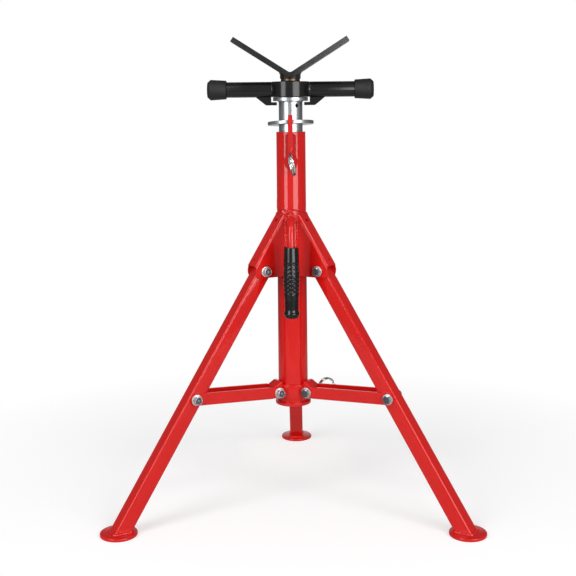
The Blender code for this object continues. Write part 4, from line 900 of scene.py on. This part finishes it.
def weld_pool():
    """Built-up weld across the front between the brackets, closed by a back in the wall:
    r = R + h (1 - u^8)(1 - v^4) q - e, with q = 0.75 + 0.25 |sin(11 u + 2 v)| + 0.1 sin(23 u + 5 v),
    for u and v from -1 to 1."""
    u, v = np.meshgrid(np.linspace(-1, 1, 160), np.linspace(-1, 1, 24))
    ripple = 0.75 + 0.25 * np.abs(np.sin(11 * u + 2 * v)) + 0.10 * np.sin(23 * u + 5 * v)
    lift = POOL_LIFT * (1 - u ** 8) * (1 - v ** 4) * ripple - POOL_SINK
    azimuth = FRONT + POOL_TURN * u
    level = ROD_HEIGHT + 0.0110 - 0.0022 * u - 0.0030 * u ** 2 + (0.0056 + 0.0010 * np.sin(9 * u)) * v
    face, back = (polar(radius, azimuth, level) for radius in (COLUMN_RADIUS + lift, COLUMN_RADIUS - 0.001))
    return skin(np.concatenate([face, back[:, ::-1]], axis=1), capped=True)


def hand_grip():
    """Lathe of the grip's profile with staggered bumps over the middle of its length, where
    it is g thinner: r - g + b clip((cos(6 t) cos(2 pi z / pitch) - 0.15) / 0.85, 0, 1)."""
    down = np.concatenate([np.linspace(0, 0.02, 8), np.linspace(0.025, 0.85, 250), np.linspace(0.855, 1, 50)])
    share = np.interp(down, *GRIP_SHARES.T)
    share[4:-4] = np.convolve(share, np.ones(5) / 5, "same")[4:-4]
    turn = circle(GRIP_SIDES)
    level = GRIP_TOP - GRIP_LENGTH * down
    wave = np.cos(6 * turn)[None] * np.cos(math.tau * level / BUMP_PITCH)[:, None]
    zone = np.clip((down - 0.20) / 0.03, 0, 1) * np.clip((0.67 - down) / 0.03, 0, 1)
    bumps = np.clip((wave - 0.15) / 0.85, 0, 1)
    radius = (GRIP_RADIUS * share)[:, None] + zone[:, None] * (BUMP_HEIGHT * bumps - BUMP_GROUND)
    bore = ROD_RADIUS + 0.0002
    mouth = lathe([(bore, GRIP_TOP - 0.004), (bore, GRIP_TOP - 0.0003), (bore + 0.001, GRIP_TOP)], GRIP_SIDES)
    grid = np.concatenate([mouth, polar(radius, turn, level[:, None])]) + np.array([ROD_REACH, 0, 0])
    return skin(turned(grid, FRONT), capped=True)


piece("handle_rod_bar", [handle_rod()], "frame", red, ["handle_rod"])
# A darker copy of the red coat: painted shade on the weld pool between the brackets above the rod
weld_painted_shade_red = "red_powder_coat", powder_coat("red_coat_painted_shade_on_weld", (0.44, 0.0045, 0.0040, 1), (0.58, 0.0075, 0.0060, 1))
piece("handle_welds", handle_beads(), "frame", red, crease=60)
piece("handle_weld_pool", [weld_pool()], "frame", weld_painted_shade_red, crease=60)
# Dipped vinyl, nearly black and glossy, a little duller and lighter in cloudy patches
grip_tones = (0.0012, 0.0014, 0.0015, 1), (0.0035, 0.004, 0.0045, 1)
vinyl = clouded("grip_vinyl", 0.0, (90.0, 2.0), grip_tones, (0.10, 0.10), (1400.0, 1.0, 0.05, 0.0002))
vinyl.node_tree.nodes["Principled BSDF"].inputs["Specular IOR Level"].default_value = 0.55
piece("hand_grip_vinyl", [hand_grip()], "frame", ("grip_plastic", vinyl), ["hand_grip"], crease=70)


# Inner tube: bright zinc plated, with a set screw through its wall near the top
# and the hole that the upper pin drops into for carrying.
TUBE_RADIUS = 0.02065
TUBE_BORE = 0.01745
TUBE_ENDS = (0.190, 0.689)
KEY_AZIMUTH = math.radians(-58.0)
KEY_HEIGHT = 0.6815
KEY_HOLE = 0.0033
SOCKET_HALF = 0.0017
CARRY_HOLE = (FRONT, 0.597, 0.0043)
TUBE_FLANGE_RADIUS = 0.03035
TUBE_FLANGE_LEVELS = (0.6893, 0.6960)
SCREW_RADIUS = 0.015875
TUBE_FLANGE_BORE = SCREW_RADIUS + 0.0006


def bright_zinc(name):
    """Clear zinc plating: drawn lines along the tube and round the rings, faint clouds,
    and a darker, sharper shine on wire that is marked polished, painted with dark and bright patches as painted
    reflections."""
    material, finish, shader = new_finish(name, 1.0)
    lines = finish.noise(60.0, 3.0, (14.0, 14.0, 0.6))
    cloud = finish.noise(38.0, 3.0)
    polish_and_painted_reflection = finish.mark("polish_and_painted_reflection")
    # Painted reflections: sharp dark and bright patches of colour on the polished wire
    painted_reflection_patches = finish.noise(190.0, 2.0)
    plate = finish.mix(cloud, (0.42, 0.44, 0.46, 1), (0.60, 0.62, 0.63, 1))
    wire = finish.mix(painted_reflection_patches.above(0.5, 0.16), (0.32, 0.32, 0.32, 1), (0.88, 0.88, 0.87, 1))
    roughness = 0.20 + lines * 0.14 + cloud * 0.08 - polish_and_painted_reflection * 0.17
    colour, normal = finish.mix(polish_and_painted_reflection, plate, wire), finish.bump(lines, 0.06, 0.0002)
    finish.dress(shader, {"Base Color": colour, "Roughness": roughness, "Normal": normal})
    return material


def bare_steel(name):
    """Bare machined steel under oil: brown film in the hollows of its tool marks, and
    black oxide where the piece says so."""
    material, finish, shader = new_finish(name, 1.0)
    film = finish.noise(110.0, 4.0)
    oxide = finish.mark("oxide")
    oiled = finish.mix(film.above(0.52, 0.22), (0.46, 0.44, 0.41, 1), (0.40, 0.27, 0.17, 1))
    colour = finish.mix(oxide, oiled, (0.028, 0.028, 0.032, 1))
    finish.dress(shader, {"Base Color": colour, "Roughness": 0.26 + film * 0.2 - oxide * 0.16})
    return material


zinc = "bright_zinc", bright_zinc("bright_zinc_plate")
screw_steel = "bare_screw", bare_steel("oiled_bare_steel")
tube_holes = [(KEY_AZIMUTH, KEY_HEIGHT, KEY_HOLE), CARRY_HOLE]
inner_tube = drilled_tube(TUBE_RADIUS, TUBE_BORE, TUBE_ENDS, 0.0005, tube_holes)
piece("inner_tube_wall", inner_tube, "inner_tube_body", zinc, ["inner_tube"])
tube_flange = solid_ring(TUBE_FLANGE_BORE, TUBE_FLANGE_RADIUS, TUBE_FLANGE_LEVELS, (0.0003, 0.0009, 0.0009, 0.0003))
tube_weld = bead(ring_path(TUBE_RADIUS + BEAD_SEAT, TUBE_FLANGE_LEVELS[0]), 0.0013, closed=True)
piece("tube_flange_ring", [tube_flange, tube_weld], "inner_tube_body", zinc, ["tube_flange"])


def key_screw():
    """Set screw with a dog point, a rounded rim and a hexagon socket."""
    outer = TUBE_RADIUS - 0.0002
    start = TUBE_BORE
    profile = rounded([
        (0, start - 0.0037, 0), (0.0025, start - 0.0037, 0.0005), (0.0025, start, 0), (0.0029, start, 0),
        (0.0029, outer, 0.0007), (0.0022, outer, 0),
    ], closed=False)
    body = lathe(profile, HEX_SIDES, "x")
    turn, socket = circle(HEX_SIDES), hexagon() * SOCKET_HALF / HEX_HALF
    deep = outer - np.array([[0.0002], [0.0024]])
    hollow = zipped(deep, socket * np.cos(turn), socket * np.sin(turn))
    return skin(turned(np.concatenate([body, hollow]), KEY_AZIMUTH) + np.array([0, 0, KEY_HEIGHT]), capped=True)


screw_shell = key_screw()
blackened = {"oxide": np.ones(len(screw_shell[0]))}
piece("key_set_screw", [screw_shell], "inner_tube_body", screw_steel, ["key_screw"], attributes=blackened)


# Nut: a black painted hub that turns on the tube's flange, with a tubular arm
# welded to each side, a rubber cap on each arm and a retaining hook below it.
HUB_RADIUS = 0.0335
HUB_LEVELS = (0.6963, 0.7230)
ARM_HEIGHT = 0.7094
ARM_RADIUS = 0.0135
ARM_WALL = 0.0025
ARM_REACH = 0.140
CAP_REACH = (0.111, 0.1438)
ARM_SIDES = {"right": 0.0, "left": math.pi}
WELD_SIZES = {"right": 1.0, "left": 0.6}


def level_rings(rows, sides, azimuth, height):
    """A closed shell round a level axis through (reach, radius) rings. A ring without a reach
    ends at a round wall of the radius w in its third place, x = sqrt(w^2 - y^2)."""
    angle = circle(sides)
    rings = []
    for reach, radius, *wall in rows:
        across = radius * np.cos(angle)
        reach = np.sqrt(wall[0] ** 2 - across ** 2) if wall else reach
        rings.append(zipped(reach, across, radius * np.sin(angle)))
    return skin(turned(np.stack(rings), azimuth) + np.array([0, 0, height]), along=True)


def coped_pipe(outer, inner, near, far, height, azimuth, edge):
    """Level pipe whose near end is cut to fit a round wall."""
    return level_rings([
        (None, outer, near), (far - edge, outer), (far - 0.3 * edge, outer - 0.3 * edge), (far, outer - edge),
        (far, inner), (None, inner, near),
    ], 72, azimuth, height)


def arm_fillet(azimuth, size):
    """Weld up the arm's front and back: rings at (distance from the hub, height over the
    arm) that sink into the pipe by 1 - f at its top and bottom, where it is ground flush."""
    section = size * np.array([
        (0.0050, 0.0), (0.0046, 0.0004), (0.0036, 0.0007), (0.0026, 0.0012), (0.0016, 0.0020), (0.0006, 0.0032),
        (0.0, 0.0040), (0.0, 0.0),
    ]) - np.array([0.0008, 0.0])
    angle = circle(120)[None]
    away, over = section[:, :1], section[:, 1:]
    flush = np.clip((0.97 - np.abs(np.sin(angle))) / 0.25, 0, 1)
    ripple = 1 + 0.10 * np.sin(17 * angle) * np.sin(5 * angle + 1)
    radius = ARM_RADIUS - 0.0004 + over * ripple * flush
    aside, up = radius * np.cos(angle), radius * np.sin(angle)
    out = np.sqrt(HUB_RADIUS ** 2 - aside ** 2) + away * ripple
    return skin(turned(zipped(out, aside, ARM_HEIGHT + up), azimuth), along=True)


def arm_cap():
    """Cap with a tapered side, a chamfer and an open mouth that the arm fits."""
    mouth, end = CAP_REACH
    floor = ARM_REACH + SEAT
    profile = rounded([
        (0, floor, 0), (ARM_RADIUS + SEAT, floor, 0), (ARM_RADIUS + SEAT, mouth, 0.0004),
        (0.01625, mouth, 0.0009), (0.0179, end - 0.0055, 0.0012), (0.0130, end, 0.0012), (0, end, 0),
    ], closed=False)
    return lathe(profile, 72, "x") + np.array([0, 0, ARM_HEIGHT])


# Gloss black enamel over turned steel, with a low ripple and small changes of gloss,
# and moulded rubber, charcoal and satin, with a fine grain and scuffed patches
black_tones = (0.003, 0.003, 0.0033, 1), (0.007, 0.007, 0.0075, 1)
rubber_tones = (0.004, 0.004, 0.0043, 1), (0.012, 0.012, 0.0125, 1)
enamel = clouded("gloss_black_enamel", 0.0, (30.0, 3.0), black_tones, (0.12, 0.12), (420.0, 1.0, 0.08, 0.0004))
rubber = clouded("charcoal_rubber", 0.0, (70.0, 4.0), rubber_tones, (0.40, 0.22), (1800.0, 2.0, 0.10, 0.0002))
black, cap_rubber = ("gloss_black", enamel), ("black_rubber", rubber)
hub = solid_ring(SCREW_RADIUS + SEAT, HUB_RADIUS, HUB_LEVELS, (0.0005, 0.0008, 0.0011, 0.0008))
piece("nut_hub_body", [hub], "nut_body", black, ["nut_hub"])
for side, azimuth in ARM_SIDES.items():
    arm = coped_pipe(ARM_RADIUS, ARM_RADIUS - ARM_WALL, HUB_RADIUS + SEAT, ARM_REACH, ARM_HEIGHT, azimuth, 0.0005)
    cap = skin(turned(arm_cap(), azimuth))
    piece("arm_%s_tube" % side, [arm], "nut_body", black, ["arm_" + side])
    piece("arm_%s_weld" % side, [arm_fillet(azimuth, WELD_SIZES[side])], "nut_body", black, crease=60)
    piece("arm_cap_%s_rubber" % side, [cap], "nut_body", cap_rubber, ["arm_cap_" + side])
    recast("hook_%s_plate" % side, "hook_" + side, "nut_body", black)


# Lead screw: bare steel with a square-shouldered thread and a keyway, which the
# nut lifts without turning.
SCREW_LEVELS = (0.520, 0.7233)
THREAD_PITCH = 0.00635
THREAD_DEPTH = 0.0026
KEYWAY_HALF = 0.0032
KEYWAY_FLOOR = 0.012875
KEYWAY_TOP = 0.700
SCREW_CHAMFER = 0.0015


def lead_screw():
    """Radius R - d clip((0.32 - |frac(z / p - t / 2 pi) - 0.5|) / 0.12, 0, 1), drawn in to
    the keyway's flat floor at its azimuth: x = floor where |y| < half width."""
    low, high = SCREW_LEVELS
    edge = math.asin(KEYWAY_HALF / (KEYWAY_FLOOR + 0.001))
    corners = np.array([edge, edge + 0.004])
    turn = np.unique(np.concatenate([np.linspace(0, math.tau, 73)[:-1], corners, math.tau - corners]))
    steps = np.arange(low, high, THREAD_PITCH / 14)
    level = np.unique(np.concatenate([steps, [high, KEYWAY_TOP, KEYWAY_TOP + 0.0002]]))
    t, z = np.meshgrid(turn, level)
    phase = np.mod(z / THREAD_PITCH - t / math.tau, 1)
    tooth = np.clip((0.32 - np.abs(phase - 0.5)) / 0.12, 0, 1)
    radius = SCREW_RADIUS - THREAD_DEPTH * tooth
    radius = np.minimum(radius, SCREW_RADIUS - SCREW_CHAMFER + (z - low))
    away = np.abs(np.mod(t + math.pi, math.tau) - math.pi)
    inside = (away <= edge + 1e-6) & (z <= KEYWAY_TOP)
    radius = np.where(inside, np.minimum(radius, KEYWAY_FLOOR / np.cos(away)), radius)
    return skin(turned(polar(radius, t, z), KEY_AZIMUTH), capped=True)


piece("lead_screw_thread", [lead_screw()], "head_body", screw_steel, ["lead_screw"])


# Head: a round block on the screw's top, and a flat bar bent to a V that is
# welded into the block and coated charcoal.
BLOCK_RADIUS = 0.018
NECK_RADIUS = 0.0167
BLOCK_LEVELS = (0.7236, 0.7278)
V_SLOPE = math.radians(32.6)
V_APEX = 0.738
V_THICKNESS = 0.0095
V_ARM = 0.1155
V_HALF_WIDTH = 0.0225
V_INNER_RADIUS = 0.006


def charcoal_coat(name):
    """Charcoal powder coat with a speckle of lighter grains, painted paler on the right as a
    painted highlight for the brighter light on that side; oiled brown steel where the piece is bare."""
    material, finish, shader = new_finish(name, 0.0)
    grain = finish.noise(1500.0, 2.0)
    cloud = finish.noise(60.0, 4.0)
    speck = grain.above(0.60, 0.10)
    bare = finish.mark("bare")
    # Painted highlight: base and grains painted paler right of x = 14 mm, for the brighter light on the V's right
    # arm
    painted_right_highlight = finish.node("ShaderNodeSeparateXYZ", {}, {0: finish.place()}, "X").above(0.014, 0.02)
    new = finish.mix(cloud, (0.002, 0.002, 0.0021, 1), (0.006, 0.006, 0.0061, 1))
    dark = finish.mix(painted_right_highlight, new, finish.mix(cloud, (0.013, 0.013, 0.0131, 1), (0.040, 0.040, 0.0405, 1)))
    light = finish.mix(painted_right_highlight, (0.018, 0.018, 0.0185, 1), (0.085, 0.085, 0.086, 1))
    coat = finish.mix(speck, dark, light)
    finish.dress(shader, {
        "Base Color": finish.mix(bare, coat, (0.17, 0.105, 0.070, 1)), "Metallic": bare,
        "Roughness": 0.26 + cloud * 0.16, "Normal": finish.bump(grain, 0.14, 0.0004),
    })
    return material


def v_outline():
    """(x, z) outline of the bent bar."""
    along = np.array([math.cos(V_SLOPE), math.sin(V_SLOPE)]) * V_ARM
    across = np.array([math.sin(V_SLOPE), -math.cos(V_SLOPE)]) * V_THICKNESS
    inner = np.array([0, V_APEX]) + along
    outer = inner + across
    under = V_APEX - V_THICKNESS / math.cos(V_SLOPE)
    return rounded([
        (0, V_APEX, V_INNER_RADIUS), (*inner, 0.0008), (*outer, 0.0008), (0, under, V_INNER_RADIUS + V_THICKNESS),
        (-outer[0], outer[1], 0.0008), (-inner[0], inner[1], 0.0008),
    ], 8)


def v_underside(x):
    """Height of the V's underside, an arc between two slopes, less the gap it is welded over."""
    radius = V_INNER_RADIUS + V_THICKNESS
    apex = V_APEX - V_THICKNESS / math.cos(V_SLOPE)
    centre = apex + radius / math.cos(V_SLOPE)
    bend = centre - np.sqrt(np.maximum(radius ** 2 - x ** 2, 0))
    slope = apex + np.abs(x) * math.tan(V_SLOPE)
    return np.where(np.abs(x) < radius * math.sin(V_SLOPE), bend, slope) - SEAT


def head_block():
    """Neck, shoulder and wall turned; the top follows the V's underside."""
    low, shoulder = BLOCK_LEVELS
    angle = circle(ROUND)
    below = lathe(rounded([
        (0, low, 0), (NECK_RADIUS, low, 0.0005), (NECK_RADIUS, shoulder, 0.0004), (BLOCK_RADIUS, shoulder, 0.0007),
        (BLOCK_RADIUS, shoulder + 0.001, 0),
    ], closed=False))
    radius = np.append(np.linspace(BLOCK_RADIUS, 0.001, 18), 0.0)[:, None]
    top = polar(radius, angle, v_underside(radius * np.cos(angle)))
    shell = skin(np.concatenate([below, top]))
    return shell, (shell[0][:, 2] < shoulder - 0.0002).astype(float)


def head_beads():
    """A bead round the block where it meets the V."""
    angle, radius = circle(160), BLOCK_RADIUS + 0.0002
    return bead(polar(radius, angle, v_underside(radius * np.cos(angle)) - 0.0003), 0.0013, closed=True)


charcoal = "charcoal_coat", charcoal_coat("speckled_charcoal_coat")
block_shell, bare_neck = head_block()
piece("head_block_turned", [block_shell], "head_body", charcoal, ["head_block"], attributes={"bare": bare_neck})
v_bar = slab(v_outline(), -V_HALF_WIDTH, V_HALF_WIDTH, 0.0005)
piece("v_head_bar", [v_bar], "head_body", charcoal, ["v_head"])
piece("head_weld", [head_beads()], "head_body", charcoal, crease=60)


# Lock ring: a loose plated ring round the inner tube. Its notch hooks into the
# slot of a tab at the column's front, so that it hangs tilted and bites the tube.
RING_RADIUS = 0.040
RING_BORE = 0.0213
RING_THICKNESS = 0.006
RING_HEIGHT = 0.6512
RING_TILT = math.radians(4.8)
RING_AXIS = math.radians(23.0)
NOTCH_HALF = 0.0052
NOTCH_DEPTH = 0.003


def lock_ring():
    """Lathe whose radius is cut to (R - depth) / cos a across the notch, then tilted."""
    half = RING_THICKNESS / 2
    profile = rounded([
        (RING_BORE, -half, 0.0004), (RING_RADIUS, -half, 0.0008), (RING_RADIUS, half, 0.0008),
        (RING_BORE, half, 0.0004),
    ])
    radius, height = profile.T[..., None]
    side = math.asin(NOTCH_HALF / (RING_RADIUS - NOTCH_DEPTH))
    corners = np.array([side, side + 0.003])
    turn = np.unique(np.concatenate([np.linspace(-math.pi, math.pi, 121)[:-1], corners, -corners]))
    notched = np.minimum(radius, (RING_RADIUS - NOTCH_DEPTH) / np.cos(turn))
    radius = np.where(np.abs(turn) <= side + 1e-6, notched, radius)
    tilt = np.array(Matrix.Rotation(-RING_TILT, 3, (math.cos(RING_AXIS), math.sin(RING_AXIS), 0)))
    grid = turned(polar(radius, turn, height), FRONT) @ tilt.T + np.array([0, 0, RING_HEIGHT])
    return skin(grid, along=True)


piece("lock_ring_plate", [lock_ring()], "lock_ring_body", zinc, ["lock_ring"])
# A darker, greyer copy of the red coat on the ring's tab: painted shade and sheen for how the light falls on it
tab_painted_light_red = "red_powder_coat", powder_coat("red_coat_painted_light_on_tab", (0.52, 0.0120, 0.0105, 1), (0.61, 0.0165, 0.0140, 1))
recast("ring_tab_plate", "ring_tab", "frame", tab_painted_light_red)


# Spring pins: a boss welded to the wall, a plunger that a coil spring presses
# in, and a pull ring through its end; one holds the tube, one the collar.
BOSS_RADIUS = 0.011
BOSS_CHAMFER = 0.003
BOSS_FACE = 0.003
POCKET_RADIUS = 0.0065
PIN_RADIUS = 0.004
PIN_HOLE = 0.0043
PIN_NOSE = 0.0045
PIN_SHOULDER = 0.0062
SHOULDER_END = 0.0065
PULL_RADIUS = 0.0171
PULL_WIRE = 0.0016
PULL_TURN = math.radians(6.0)
PULL_OUT = 0.0018
SPRING_RADIUS = 0.0052
SPRING_WIRE = 0.0005
SPRING_GAP = 0.0003
# Body, azimuth and height, the ring's roll and sag in degrees, the wall's radius, and how
# far out the nose, the boss's face and the cross hole are
PINS = {
    "upper": ("frame", FRONT, 0.585, (11.0, 12.0), COLUMN_RADIUS, TUBE_RADIUS + SEAT, 0.038, 0.041),
    "lower": (
        "collar_body", LOWER_PIN_AZIMUTH, 0.187, (0.0, 25.0), COLLAR_RADIUS, COLUMN_RADIUS + SEAT, 0.044, 0.051,
    ),
}


def boss(wall, reach, height, azimuth):
    """Round boss cut to a round wall, with a chamfered face and a pocket behind its pin hole."""
    front, edge, small = reach - BOSS_FACE, reach - BOSS_CHAMFER, BOSS_RADIUS - BOSS_CHAMFER
    return level_rings([
        (None, POCKET_RADIUS, wall + SEAT), (None, BOSS_RADIUS, wall + SEAT), (edge - 0.0002, BOSS_RADIUS),
        (edge + 0.0001, BOSS_RADIUS - 0.0002), (reach - 0.0002, small + 0.0001), (reach, small - 0.0002),
        (reach, PIN_HOLE + 0.0003), (reach - 0.0003, PIN_HOLE), (front, PIN_HOLE), (front, POCKET_RADIUS),
    ], 64, azimuth, height)


def boss_bead(wall, height, azimuth):
    """Bead where a boss meets its wall."""
    path = saddle_path(BOSS_RADIUS + BEAD_SEAT, wall, height, azimuth, 160)
    return bead(path, 0.0014, closed=True, up=(-math.sin(azimuth), math.cos(azimuth), 0.001))


def plunger(tip, hole_reach):
    """Nose, shoulder and a shank that reaches past the ring."""
    end, shoulder, shank = hole_reach + 0.0042, tip + PIN_NOSE, tip + SHOULDER_END
    profile = rounded([
        (0, tip, 0), (PIN_RADIUS, tip, 0.001), (PIN_RADIUS, shoulder, 0), (PIN_SHOULDER, shoulder, 0.0004),
        (PIN_SHOULDER, shank, 0.0004), (PIN_RADIUS, shank, 0), (PIN_RADIUS, end, 0.001), (0, end, 0),
    ], closed=False)
    return lathe(profile, 40, "x")


def pull_ring(hole_reach, roll, sag):
    """A split ring, two turns of round wire side by side that cross over near one
    place, hung from the plunger: y = w tanh((a - 2 pi) / 0.12) for a turned angle a."""
    angle = np.linspace(0.22, 2 * math.tau - 0.22, 260)
    aside = PULL_WIRE * np.tanh((angle - math.tau) / 0.12)
    path = zipped(PULL_RADIUS * (1 - np.cos(angle + 2.2)), aside, PULL_RADIUS * np.sin(angle + 2.2))
    droop = np.array(Matrix.Rotation(sag, 3, "Y"))
    spin = np.array(Matrix.Rotation(roll, 3, "X") @ Matrix.Rotation(PULL_TURN, 3, "Z"))
    return sweep(path, PULL_WIRE, 16) @ (spin @ droop).T + np.array([hole_reach, 0, 0])


def coil(near, far, turns=3):
    """Helix whose ends are drawn together, as a compression spring's are: it runs
    x = x0 + L (s - 0.2 sin(2 pi s) / 2 pi) along as s goes from 0 to 1."""
    share = np.linspace(0, 1, turns * 28)
    first = near + SPRING_WIRE + SPRING_GAP
    length = far - near - 2 * (SPRING_WIRE + SPRING_GAP)
    along = first + length * (share - 0.2 * np.sin(math.tau * share) / math.tau)
    angle = math.tau * turns * share
    path = zipped(along, SPRING_RADIUS * np.cos(angle), SPRING_RADIUS * np.sin(angle))
    return sweep(path, SPRING_WIRE, 10, up=(1.0, 0.0, 0.0))


def set_pin(points, azimuth, lift, capped=False):
    """Points along X turned round the column and lifted, as a shell."""
    return skin(turned(points, azimuth) + lift, capped=capped)


# Drawn spring steel, dark, with a fine streak along the wire
wire_tones = (0.20, 0.20, 0.21, 1), (0.36, 0.36, 0.37, 1)
wire_steel = "spring_steel", clouded("drawn_spring_steel", 1.0, (300.0, 2.0), wire_tones, (0.28, 0.16))
for label, (body, azimuth, height, hang, wall, tip, reach, hole_reach) in PINS.items():
    lift = np.array([0, 0, height])
    near, far = tip + SHOULDER_END, reach - BOSS_FACE
    shells = [boss(wall, reach, height, azimuth), boss_bead(wall, height, azimuth)]
    pin = set_pin(plunger(tip, hole_reach), azimuth, lift)
    ring = set_pin(pull_ring(hole_reach + PULL_OUT, *np.radians(hang)), azimuth, lift, True)
    spring = set_pin(coil(near, far), azimuth, lift, True)
    # Marks the ring's wire polished, which also paints reflections on it
    shine = {"polish_and_painted_reflection": np.ones(len(ring[0]))}
    piece(label + "_pin_boss_turned", shells, body, red, [label + "_pin_boss"])
    piece(label + "_pin_plunger", [pin], label + "_pin_body", zinc, [label + "_pin"])
    piece(label + "_ring_wire", [ring], label + "_ring_body", zinc, [label + "_pull_ring"], attributes=shine)
    coiled = piece(label + "_spring_coil", [spring], body, wire_steel, [label + "_pin_spring"])
    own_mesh(coiled)
